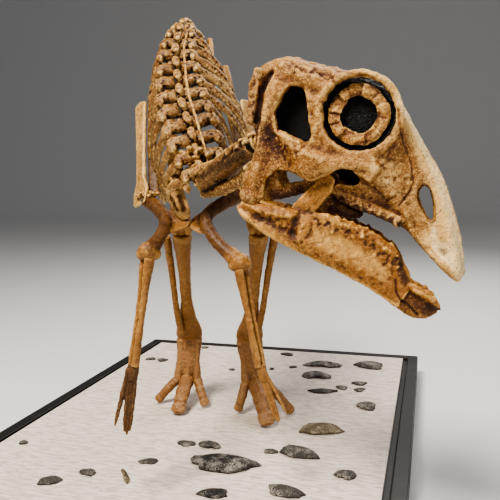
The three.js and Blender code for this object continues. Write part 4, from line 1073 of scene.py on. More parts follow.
@dataclass
class LowerJaw:
    """The two dentaries and the scoop-shaped predentary, in the skull's frame."""

    rows: Sequence[Triple] = (  # x, lower edge, upper edge, distance from the mid-plane, half thickness
        (-25, -68, -65.5, 17, 2.2), (-19, -70.5, -61.5, 17, 3.2), (-4, -70.8, -57, 16.4, 3.4),
        (8, -69.5, -49, 15, 3.4), (20, -68, -44.5, 13, 3.3), (36, -66.3, -41.6, 10.5, 3),
        (50, -65.2, -42.4, 8.2, 2.8), (64, -66, -51, 5.6, 2.6), (69, -66.3, -55, 4.6, 2.4))
    sockets: int = 17  # bumps along the upper edge

    def half(self, shop: Workshop, word: str, side: int) -> None:
        """One half of the lower jaw.

        Args:
            shop: The workshop.
            word: "right" or "left".
            side: -1 on the right, 1 on the left.
        """
        rows = np.array(self.rows)

        def corner(x: float, turn: float) -> Triple:
            """Place on the jaw's wall.

            Args:
                x: X of the section.
                turn: Turn round it from its top.

            Returns:
                The corner.
            """
            low, high, out, half = (float(np.interp(x, rows[:, 0], rows[:, k])) for k in range(1, 5))
            lift, wide = math.cos(turn), math.sin(turn)
            lift = math.copysign(abs(lift) ** 0.8, lift)
            y = out + (1 - 0.25 * lift if lift < 0 else 1) * half * wide - 1.4 * lift
            return x, side * y, (low + high) / 2 + lift * (high - low) / 2

        clay = Clay(SKULL_FRAME).loft(np.linspace(-25, 66.4, 34), 20, corner)
        clay.slab([(-4, -58), (-2.4, -50), (-1.2, -43), (0.6, -35), (2.4, -29.8), (7.4, -30.6), (9.2, -36), (8.3, -44),
                   (7.6, -49), (12, -52), (14, -58)], side * 11.6, side * 14.6)
        clay.tube([(1, side * 13.4, -54), (3.4, side * 13.2, -44), (4.4, side * 13, -34)],
                  [(0, 2, 4), (0.6, 1.9, 3.2), (1, 1.7, 3)], (0, side, 0))
        clay.tube([(-24, side * 17, -65), (-12, side * 17, -61), (2, side * 15.6, -55)],
                  [(0, 2.4, 2.8), (0.5, 3, 3.2), (1, 2.4, 3)], (0, side, 0))
        for k in range(self.sockets):
            x = lerp(11, 51, k / (self.sockets - 1))
            high = float(np.interp(x, rows[:, 0], rows[:, 2]))
            out = float(np.interp(x, rows[:, 0], rows[:, 3]))
            rise = 0.5 + 0.5 * math.sin(k * 2.3)
            inner = side * (out - 1.4)
            clay.tube([(x, inner, high - 4), (x + 0.8 * math.sin(k * 1.9), inner, high + rise)],
                      [(0, 0.7, 0.9), (0.6, 1.0, 1.4), (0.9, 1.0, 1.4), (1, 0.6, 0.9)], (1, 0, 0), 8, 4)
        mesh = clay.fuse(0.72, 3, ((5.0, 0.9), (1.8, 0.6), (0.9, 0.25)))
        Skin(mesh).strokes(SKULL_FRAME, [
            Stroke([(16, -57), (28, -54), (42, -53), (52, -55)], 5.2, -1.1, tone=0.62),
            Stroke([(-21, -64), (-10, -62), (0, -56.5)], 1.6, 0.9, tone=-0.3),
            Stroke([(-14, -66), (-4, -64), (6, -64)], 2.2, -0.9, tone=-0.5),
            Stroke([(3, -57), (5, -62)], 2.2, -1.6, tone=-1.0),
            Stroke([(9, -52), (12, -58), (11, -64)], 1.1, -0.6, tone=-0.4),
            Stroke([(14, -48), (26, -45), (40, -44), (54, -46)], 1.8, 0.6, tone=0.1),
            Stroke([(12, -52), (24, -47.5), (40, -46), (54, -48.5)], 2.6, -0.2, 6, -0.35),
            # dark at the front of the dentary's upper edge: painted shade at the symphysis
            Stroke([(53, -45), (58, -50), (62, -53)], 3.0, 0.0, tone=-1.1),
            Stroke([(20, -61), (36, -60), (50, -59)], 2.0, 0.3, tone=0.2),
            Stroke([(-22, -68), (-8, -70), (10, -69), (30, -67), (50, -65), (66, -65.5)], 1.3, 0.5, tone=0.9),
            Stroke([(-4, -67), (20, -65), (44, -62.5), (60, -62)], 2.4, 0.0, tone=-0.35),
            Stroke([(58, -55), (62, -60), (68, -63)], 0.7, -0.6, 2, -0.8),
            *gravel((10, -51), (34, -45), 2.2, 40, 0.4, 0.6), *gravel((34, -45), (56, -49), 2.2, 34, 0.4, 0.6),
            *gravel((-14, -62), (8, -60), 4.0, 30), *gravel((8, -66), (50, -62), 2.6, 30),
        ])
        shop.cast(f"jaw_{word}", mesh, Finish.JAW, "jaw_bone", f"dentary_{word}")

    def scoop(self, shop: Workshop) -> None:
        """The predentary.

        Args:
            shop: The workshop.
        """
        outer = Clay(SKULL_FRAME).tube(
            [(62.5, 0, -59.4), (70, 0, -60.0), (77, 0, -59.6), (83.4, 0, -57.2)],
            [(0, 6.4, 6.4), (0.2, 7.6, 7.2), (0.55, 8.2, 7.2), (0.78, 7.2, 5.2), (0.92, 5.4, 3.0), (1, 3.6, 1.5)],
            (0, 1, 0), 24)
        for side in (-1, 1):
            outer.tube([(63, side * 5.6, -54.6), (74, side * 7.4, -54), (83.6, side * 4.4, -55.2)],
                       [(0, 1.6, 2.6), (0.5, 1.6, 2.4), (1, 1.1, 1.3)], (0, 1, 0))
            for x, y, z in ((83.4, 3.6, -55.6), (81, 5.4, -54.4), (77.6, 7.0, -52.8), (73.4, 7.2, -52.2)):
                outer.ball((x, side * y, z), (1.9, 1.3, 1.5))
        hollow = Clay(SKULL_FRAME).tube([(56, 0, -52), (72, 0, -52), (88, 0, -50.5)],
                                        [(0, 4.8, 6), (0.5, 5.8, 6), (1, 4.4, 3.4)], (0, 1, 0), 16)
        mesh = outer.fuse(0.6, 2, ((3.0, 1.0), (1.2, 0.6)), [hollow])
        Skin(mesh).strokes(SKULL_FRAME, [
            Stroke([(62, -58), (69, -59), (77, -58.6), (84, -56.6)], 3.6, -1.0, 2, -0.8),
            Stroke([(62, -62), (72, -63), (80, -60)], 3.6, 0.0, 3, -0.35),
            Stroke([(68, -54), (76, -53), (83, -55)], 1.0, 0.3, 2, 0.5),
            Stroke([(63, -65.6), (73, -67), (80, -63)], 1.4, 0.3, 0, 0.4),
            Stroke([(62, -63), (68, -62), (76, -63.5)], 0.6, -0.6, 2, -0.9),
        ])
        shop.cast("jaw_tip", mesh, Finish.JAW, "jaw_bone", "predentary")

    def build(self, shop: Workshop) -> None:
        """Make the whole lower jaw.

        Args:
            shop: The workshop.
        """
        for word, side in SIDES:
            self.half(shop, word, side)
        self.scoop(shop)


# ---------------------------------------------------------------- spine and ribs
@dataclass(frozen=True)
class Vertebra:
    """Sizes of one back bone in mm."""

    radius: float
    span: float
    rise: float
    height: float
    thick: float = 1.1  # half thickness of the neural spine
    long: float = 0.3  # half length of the spine and processes, as a share of the spacing
    tip: float = 1.7  # half height of a process's end
    droop: float = 0.8
    sweep: float = 0.0  # how far a process's end is swept to the head, as a share of the spacing

    def build(self, s: Station, middle: Clay, wings: dict[int, Clay]) -> None:
        """Add the bone's lumps.

        Args:
            s: Where it stands.
            middle: Clay of the body and the neural spine.
            wings: Clay of the processes of each side.
        """
        r, p = self.radius, s.pitch
        turn = s.turn()
        middle.tube([s.off(0, 0, -0.53 * p), s.off(0, 0, 0), s.off(0, 0, 0.53 * p)],
                    [(0, r, r), (0.14, r, r), (0.32, r * 0.84, r * 0.8), (0.68, r * 0.84, r * 0.8), (0.86, r, r),
                     (1, r, r)], s.left, 16, 9)
        middle.ball(s.off(0, 3.2, 0), (3.4, 0.44 * p, 3.4), turn)
        lean, long = 0.16 * p, self.long * p
        middle.tube([s.off(0, 3, -0.06 * p), s.off(0, self.height - 1.5, lean)],
                    [(0, self.thick + 0.7, long * 1.2), (0.45, self.thick * 0.85, long * 0.9),
                     (1, self.thick, long * 1.1)], s.left, 12, 5)
        middle.ball(s.off(0, self.height - 1.9, lean), (self.thick * 1.15, long * 1.25, 2.2), turn)
        for side, clay in wings.items():
            clay.tube([s.off(side * 1.6, 3.0), s.off(side * self.span * 0.4, self.rise * 0.62 + 2.2),
                       s.off(side * self.span * 0.72, self.rise + 0.6),
                       s.off(side * (self.span - 1.5), self.rise - self.droop, -self.sweep * p)],
                      [(0, long * 1.15, self.tip * 1.5), (0.3, long * 1.0, self.tip * 1.15),
                       (0.6, long * 0.78, self.tip * 0.85), (0.85, long * 1.05, self.tip),
                       (1, long * 0.9, self.tip * 0.8)],
                      s.along, 14, 9)
            clay.ball(s.off(side * (self.span - 2.8), self.rise - self.droop * 0.3, (0.06 - self.sweep * 0.5) * p),
                      (2.6, long * 1.2, self.tip * 1.15), turn)
            clay.ball(s.off(side * 4.2, 3.6, -0.4 * p), (2.2, 0.24 * p, 1.1), turn)


@dataclass
class Spine:
    """The back bones from the head to the tail's end, with the ribs."""

    neck: Sequence[Triple] = ((43.4, -159.7, 231), (34, -146.5, 226), (22.8, -128, 218), (11.5, -108, 209))
    back: Sequence[Triple] = (
        (11.5, -108, 208.5), (4.5, -91, 236), (-2.5, -77, 256), (-6.5, -62, 276.5), (-8.5, -50, 292),
        (-7.5, -35, 307), (-6, -17, 318))
    sacrum: Sequence[Triple] = ((-6, -17, 318), (-3.5, 5, 319.5), (-1, 28, 314))
    tail: Sequence[Triple] = ((-1, 28, 314), (2, 66, 303), (7, 122, 286), (13, 180, 268), (18, 235, 250))
    spans: Sequence[float] = (13.2, 15.5, 17.4, 18.3, 18.1, 17.5, 16.4, 15.2, 13.9, 12.1, 10, 8.1)
    ribs: Sequence[Row] = (  # length and half width of the cage, neck to hips
        (19, 16.2), (31, 18.6), (44, 21.5), (55, 24.5), (62, 27.4), (65, 29.8), (63, 30.4), (56, 28.9), (46, 25.3),
        (34, 20.3), (20, 13))
    tail_parts: int = 4
    tail_count: int = 24
    tail_ribs: int = 9
    crumbs: int = 34  # of matrix, behind the neck's base
    edge_crumbs: int = 10  # of matrix, down the chest's front edge
    rods: int = 3

    def make_neck(self, shop: Workshop) -> None:
        """The neck: two pale bars along its top edges over a broad brown body.

        Args:
            shop: The workshop.
        """
        clay, bars = Clay(), Clay()
        row = stations(self.neck, 8, (1, 0.35, 0))
        for i, s in enumerate(row):
            Vertebra(5.2 + 0.09 * i, 7.4, 0.6, 7.0, 1.3, 0.36, 1.5, 0.0).build(s, clay, {-1: clay, 1: clay})
        clay.tube([s.off(0, -1.6) for s in row], [(0, 6.2, 3.6), (0.5, 6.8, 4.0), (1, 7.2, 4.2)], (1, 0.35, 0), 20)
        for side in (-1, 1):
            clay.tube([s.off(side * lerp(4.4, 7.0, i / 7), 1.4) for i, s in enumerate(row)],
                      [(0, 1.0, 2.8), (0.5, 1.1, 3.6), (1, 1.1, 3.6)], (1, 0.35, 0), 12)
        bars.tube([s.off(lerp(3.4, 8.6, i / 7), lerp(5.0, 6.6, i / 7)) for i, s in enumerate(row)],
                  [(0, 1.3, 1.4), (0.6, 1.7, 1.8), (1, 2.4, 2.2)], (0, 0, 1), 12)
        bars.tube([(3.6, -113.5, 216.2), (10.8, -117, 219.4), (18.3, -123, 222.4), (25.4, -129, 225.4),
                   (32.3, -135, 228.1), (37.5, -143, 230.2)],
                  [(0, 2.6, 2.2), (0.15, 2.4, 2.3), (0.4, 1.6, 1.9), (0.7, 1.3, 1.5), (1, 1.1, 1.3)], (0, 0.4, 1), 12)
        clay.tube([(8, -110, 212.5), (14, -117, 215.5), (21, -124.5, 219), (29, -133, 222.5), (39, -149, 226.5)],
                  [(0, 4.6, 3.0), (0.5, 4.2, 3.0), (1, 3.0, 2.2)], (1, 0.35, -0.6), 14)
        clay.tube([(10.8, -106, 204.4), (21, -122, 206.5), (32.6, -139, 211.5), (41, -154, 219)],
                  [(0, 3.2, 3.0), (0.4, 3.4, 3.8), (0.8, 2.8, 3.2), (1, 2.2, 2.4)], (1, 0.35, 0), 14)
        mesh = clay.fuse(0.62, 2, ((3.6, 0.8), (1.3, 0.5)))
        Skin(mesh).strokes(Matrix(), [Stroke([(9, 214), (20, 219), (34, 226)], 4.5, -0.5, tone=-0.7)])
        shop.cast("neck_cast", mesh, Finish.SPINE, "spine_bone", "neck_front", "neck_rear")
        shop.cast("neck_bars", bars.fuse(0.55, 2, ((2.6, 0.5), (1.1, 0.35))), Finish.PALE, "spine_bone")
        self.make_collar(shop)

    def make_collar(self, shop: Workshop) -> None:
        """The crumbly pale matrix and the small ribs where the neck meets the chest.

        Args:
            shop: The workshop.
        """
        clay = Clay()
        for k in range(self.crumbs):
            share, turn = k / (self.crumbs - 1), k * 2.4
            clay.ball((lerp(-6, 12, share) + 2.2 * math.sin(turn), lerp(-101, -111, share) + 1.8 * math.cos(turn),
                       lerp(223, 226, share) + 6.4 * math.cos(turn * 1.7)),
                      (1.9 + 0.6 * math.sin(k * 1.3), 2.0, 1.6 + 0.5 * math.cos(k * 2.9)))
        for k in range(self.edge_crumbs):
            height = lerp(220, 208, k / (self.edge_crumbs - 1))
            clay.ball((-4.6 + 1.6 * math.sin(k * 2.2), -101, height), (1.9, 1.8, 1.5))
        for k in range(self.rods):
            clay.tube([(-10.5 + 1.9 * k, -97, 217.5 + 0.8 * k), (-4.5 + 1.5 * k, -101, 211 + 0.6 * k),
                       (1.6 + 0.6 * k, -104, 204 + 1.4 * k)], [(0, 0.8, 0.9), (0.6, 0.9, 1.0), (1, 0.6, 0.7)],
                      (1, 0, 0), 8)
        shop.cast("neck_collar", clay.fuse(0.5, 1, ((2.2, 1.0), (1.0, 0.7))), Finish.PALE, "spine_bone")
        blade = Clay().tube([(-13, -93, 216), (-9.4, -95, 206), (-5, -97, 197), (-1, -99, 188.5)],
                            [(0, 1.6, 1.0), (0.3, 4.0, 1.2), (0.66, 5.6, 1.3), (0.9, 4.4, 1.3), (1, 2.2, 1.0)],
                            (1, 0, 0.4), 16)
        mesh = blade.fuse(0.45, 2, ((2.8, 0.7), (1.1, 0.3)))
        Skin(mesh).strokes(Matrix(), [Stroke([(-5.2, 202), (-2.6, 194.5)], 1.7, -1.2, tone=-1.4),
                                      Stroke([(-13, 212), (-11, 203), (-6.5, 194)], 0.8, -0.5, 3, -0.9)])
        shop.cast("breast_blade", mesh, Finish.PALE, "pale_bone")

    def cage_rib(self, clay: Clay, s: Station, order: int, side: int) -> None:
        """One rib, with its head and its bend.

        Args:
            clay: The side's clay.
            s: Its station.
            order: Its place from the front.
            side: -1 on the right, 1 on the left.
        """
        def middle(z: float) -> float:
            """X of the cage's middle line at a height."""
            return 1.5 - max(0.0, z - 250) * 0.13

        length, width = self.ribs[order]
        width = width * lerp(0.8, 1, min(1, order / 5)) + (4.5 if side > 0 and order > 4 else 0)
        lean = math.radians(lerp(50, 10, order / (len(self.ribs) - 1)))
        down = Vector((0, math.sin(lean), -math.cos(lean)))
        root = s.off(side * (self.spans[order] - 2.2), 5.4, -0.25 * s.pitch)
        start = abs(root.x - middle(root.z))
        points = [root]
        for drop, out in ((0.18, 0.56), (0.42, 0.92), (0.7, 1), (1, 0.78)):
            point = root + down * (drop * length)
            point.x = middle(point.z) + side * lerp(start, max(width, start + 2), out)
            points.append(point)
        clay.tube(points, [(0, 2.8, 2.4), (0.1, 3.0, 1.9), (0.3, 2.8, 1.35), (0.8, 2.6, 1.15), (0.95, 2.3, 1.15),
                           (1, 1.6, 0.9)], (s.along + s.dorsal * 0.35).normalized(), 14)
        clay.tube([points[0], s.off(side * 6, 0.5)], [(0, 1.2, 1.5), (1, 1.1, 1.4)], s.along, 8)
        clay.ball(root, 2.3)

    def make_cage(self, shop: Workshop) -> None:
        """The back bones and ribs, parted into the two sides.

        Args:
            shop: The workshop.
        """
        sides, crest = {-1: Clay(), 1: Clay()}, Clay()
        row = stations(self.back, 12)
        for order, s in enumerate(row):
            Vertebra(4.8, self.spans[order], 6, 9.4, 2.0, 0.34, 2.9, 2.0, 0.34).build(s, sides[-1], sides)
            turn = s.turn()
            crest.ball(s.off(-0.8, 9.8, 0.2 * s.pitch), (2.7, 0.36 * s.pitch, 2.3), turn)
            crest.ball(s.off(-0.4, 10.4, 0.02 * s.pitch), (2.3, 0.24 * s.pitch, 1.6), turn)
            if order < len(self.ribs):
                for side, clay in sides.items():
                    self.cage_rib(clay, s, order, side)
        crest.tube([s.off(4.8 + 0.3 * math.sin(k * 2), 7.2) for k, s in enumerate(row[:-1])],
                   [(0, 0.9, 1.6), (0.5, 1.15, 1.8), (1, 0.9, 1.5)], (1, 0, 0), 10)
        shop.cast("back_crest", crest.fuse(0.55, 2, ((2.6, 0.7), (1.1, 0.4))), Finish.PALE, "spine_bone")
        for word, side in SIDES:
            mesh = sides[side].fuse(0.62, 2, ((4.2, 1.0), (1.5, 0.7)))
            shop.cast(f"ribs_{word}", mesh, Finish.SPINE, "spine_bone", f"ribcage_{word}")

    def make_sacrum(self, shop: Workshop) -> None:
        """The fused bones between the hips.

        Args:
            shop: The workshop.
        """
        clay = Clay()
        for s in stations(self.sacrum, 6):
            Vertebra(5.1, 9.4, 1.4, 11.5, 2.3, 0.4, 2.0).build(s, clay, {-1: clay, 1: clay})
        mesh = clay.fuse(0.65, 3, ((3.0, 0.7), (1.2, 0.4)))
        shop.cast("sacrum_cast", mesh, Finish.SPINE, "spine_bone", "sacrum")

    def make_tail(self, shop: Workshop) -> None:
        """The tail, in its four stretches.

        Args:
            shop: The workshop.
        """
        row = stations(self.tail, self.tail_count)
        each = self.tail_count // self.tail_parts
        for part in range(self.tail_parts):
            clay = Clay()
            for order in range(part * each, (part + 1) * each):
                s = row[order]
                size = lerp(5.2, 1.5, s.t ** 0.8)
                rise, drop = lerp(15, 2.6, s.t ** 0.6), (lerp(17, 2.6, s.t ** 0.7) if order else 3)
                half = max(1.0, size * 0.32)
                clay.tube([s.off(0, 0, -0.5 * s.pitch), s.off(0, 0, 0), s.off(0, 0, 0.5 * s.pitch)],
                          [(0, size, size), (0.2, size * 0.95, size * 0.95), (0.5, size * 0.74, size * 0.74),
                           (0.8, size * 0.95, size * 0.95), (1, size, size)], s.left, 14, 9)
                clay.tube([s.off(0, 0, 0), s.off(0, rise - half * 0.7, size * 0.9)],
                          [(0, 1.1, half * 1.7), (0.7, 0.8, half * 0.9), (1, 1.05, half * 1.05)], s.left, 10)
                clay.tube([s.off(0, -size * 0.6, 0), s.off(0, half * 0.7 - drop, drop * 0.55)],
                          [(0, 1.3, half * 1.1), (0.5, 0.8, half * 0.8), (1, 0.9, half * 1.1)], s.left, 10)
                for side in (-1, 1):
                    clay.ball(s.off(side * size * 0.5, size * 0.75, -0.44 * s.pitch),
                              (max(0.8, size * 0.22), 0.2 * s.pitch, max(0.8, size * 0.25)), s.turn())
                    if order < self.tail_ribs:
                        span = min(lerp(15, 5, order / self.tail_ribs), 5 + order * 5)
                        clay.tube([s.off(side * size * 0.5, 0), s.off(side * (span - 0.7), 0)],
                                  [(0, 2.2, 1.2), (0.6, 1.4, 0.9), (1, 1.7, 1.0)], s.along, 8)
            mesh = clay.fuse(0.6, 2, ((2.6, 0.5), (1.1, 0.3)))
            shop.cast(f"tail_cast_{part + 1}", mesh, Finish.SPINE, "spine_bone", f"tail_{part + 1}")

    def build(self, shop: Workshop) -> None:
        """Make the whole spine.

        Args:
            shop: The workshop.
        """
        self.make_neck(shop)
        self.make_cage(shop)
        self.make_sacrum(shop)
        self.make_tail(shop)


# ---------------------------------------------------------------- limbs
LIMB_GRAIN = ((7.0, 0.8), (2.2, 0.45), (1.0, 0.2))


@dataclass(frozen=True)
class Limb:
    """What the limbs of one side share."""

    word: str
    side: int

    @property
    def out(self) -> Vector:
        """Direction away from the body."""
        return Vector((self.side, 0, 0))

    def finish(self, shop: Workshop, name: str, clay: Clay, paint: Finish = Finish.LIMB, slot: str = "limb_bone",
               voxel: float = 0.8, smooth: int = 4, grains: Sequence[Row] = LIMB_GRAIN,
               strokes: Sequence[Stroke] = ()) -> None:
        """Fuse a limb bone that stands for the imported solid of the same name.

        Args:
            shop: The workshop.
            name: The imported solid's name without its side.
            clay: The bone's lumps.
            paint: Its paint.
            slot: The record's material slot.
            voxel: Size of its faces in mm.
            smooth: Rounds of smoothing.
            grains: Its unevenness.
            strokes: Tints, in the skeleton's X and Z.
        """
        node = f"{name}_{self.word}"
        mesh = clay.fuse(voxel, smooth, grains)
        if strokes:
            Skin(mesh).strokes(Matrix(), strokes)
        shop.cast(f"{node}_cast", mesh, paint, slot, node)


@dataclass(frozen=True)
class Arm(Limb):
    """One arm with its shoulder blade."""

    joint: Triple
    top: Triple
    humerus: Sequence[Triple]
    corner: Triple
    wrist: Triple
    tips: Triple
    slim: float  # how broad the hand is
    lip_crumbs: int = 16  # along the shoulder blade's lower end

    def build(self, shop: Workshop) -> None:
        """Make the arm.

        Args:
            shop: The workshop.
        """
        joint, top = Vector(self.joint), Vector(self.top)
        along = (top - joint).normalized()
        up = Vector((-self.side * 0.7, -0.7, 0.05))
        across = (up - along * up.dot(along)).normalized()
        blade = Clay().take(shop.nodes[f"scapula_{self.word}"])
        for edge in (-1, 1):
            blade.tube([joint + along * 12 + across * edge * 3.4, joint.lerp(top, 0.5) + across * edge * 3.3,
                        joint.lerp(top, 0.97) + across * edge * 4.6], [(0, 1.3, 1.6), (0.6, 1.1, 1.2), (1, 1.0, 1.1)],
                       across, 8)
        self.finish(shop, "scapula", blade, Finish.PALE, "pale_bone", 0.62, 4)
        path = [Vector(p) for p in self.humerus]
        elbow, wrist, tips = path[-1], Vector(self.wrist), Vector(self.tips)
        fore = (wrist - elbow).normalized()
        upper = Clay().tube(path, [(0, 3.6, 3.6), (0.12, 4.9, 4.4), (0.4, 4, 4), (0.64, 3.8, 3.4), (0.82, 4.0, 3.6),
                                   (1, 5.6, 5.0)], -self.out, 14)
        upper.ball(path[0], 5.1).ball(elbow, (6.3, 6.0, 6.2)).ball(elbow - self.out * 4.2 + fore * 1.4, (3.4, 4.2, 3.6))
        upper.ball(elbow + self.out * 4.0 + fore * 1.0, (3.2, 4.0, 3.8))
        upper.tube([path[1].lerp(path[0], 0.2), Vector(self.corner), path[3].lerp(path[2], 0.3)],
                   [(0, 1.3, 3), (0.5, 1.3, 5), (1, 1.5, 3)], (0, -0.5, 0.85), 12)
        # darker upper humerus: partly its mottled colour, partly painted shade under the shoulder
        dark = Stroke([(p.x, p.z) for p in path[:4]] + [tuple(path[3].lerp(elbow, 0.3).xz)], 6.5, 0.0, tone=-1.0)
        self.finish(shop, "humerus", upper, Finish.LIMB, voxel=0.7, grains=((4.0, 0.9), (1.5, 0.6)),
                    strokes=[dark])
        # dark plate behind the blade's inner edge: painted shade for the shaded inner face of the shoulder blade
        shift = Vector((-self.side * 7.6, 1.5, 0))
        inner = Clay().tube([joint + shift + along * 3, joint.lerp(top, 0.5) + shift, top + shift - along * 3],
                            [(0, 3.6, 0.9), (0.3, 3.6, 0.8), (1, 3.0, 0.7)], (1, -0.25, 0), 14)
        shop.cast(f"scapula_{self.word}_inside", inner.fuse(0.5, 2, ((3.0, 0.5), (1.2, 0.3))),
                  Finish.DARK, "pale_bone")
        lip = Clay()
        for k in range(self.lip_crumbs):
            off = Vector((-self.side * lerp(-2.5, 11, k / (self.lip_crumbs - 1)), 1.5 * math.sin(k * 1.9) - 1.5,
                          1.6 + 1.1 * math.sin(k * 2.7)))
            lip.ball(joint + off, (1.5, 1.9, 1.3 + 0.4 * math.sin(k * 1.4)))
        shop.cast(f"scapula_{self.word}_lip", lip.fuse(0.5, 1, ((2.0, 0.7), (1.0, 0.5))), Finish.PALE,
                  "pale_bone")
        pair = Vector((self.side * 0.6, 0.8, 0)).normalized()
        for name, sign in (("ulna", 1), ("radius", -1)):
            start, end = elbow + pair * (sign * 2.5) + fore * 3.4, wrist + pair * (sign * 2.1) + fore * 0.8
            bone = Clay().tube([start, start.lerp(end, 0.5) - pair * (sign * 0.3), end],
                               [(0, 2.1, 3.2), (0.1, 2.2, 3.3), (0.25, 1.8, 2.5), (0.55, 1.55, 2.0), (0.9, 1.8, 2.7),
                                (1, 1.6, 2.4)], pair, 12)
            self.finish(shop, name, bone, Finish.LIMB, "dark_bone", 0.6, 3)
        hand, slim = Clay(), self.slim
        down = tips - wrist
        for place, reach, splay in ((-0.9, 0.94, -0.2), (0, 1, 0.0), (0.9, 0.95, -0.1), (1.3, 0.86, 4.8)):
            root = wrist + self.out * (place * 2 * slim) + fore * 2
            turn = math.copysign(1, place) if place else 0.0
            spots = [root + down * (reach * t) + self.out * (turn * splay * t) for t in (0, 0.45, 0.62, 0.78, 1)]
            girth = [(0, 1.7, 2.0), (0.2, 1.25, 1.5), (0.45, 1.6, 1.9), (0.52, 1.2, 1.4), (0.63, 1.5, 1.7),
                     (0.7, 1.1, 1.2), (0.79, 1.35, 1.45), (0.88, 1.0, 1.0), (1, 0.6, 0.6)]
            hand.tube(spots, [(t, a * slim, b) for t, a, b in girth], self.out, 10)
        hand.tube([wrist - fore * 0.8, wrist + fore * 4, wrist + fore * 9],
                  [(0, 3.3 * slim, 2.7), (0.5, 3.6 * slim, 2.6), (1, 2.6 * slim, 1.6)], self.out, 12)
        self.finish(shop, "hand", hand, Finish.DARK if slim == 1 else Finish.LIMB, "dark_bone", 0.5, 2,
                    ((1.6, 0.45), (0.8, 0.2)))


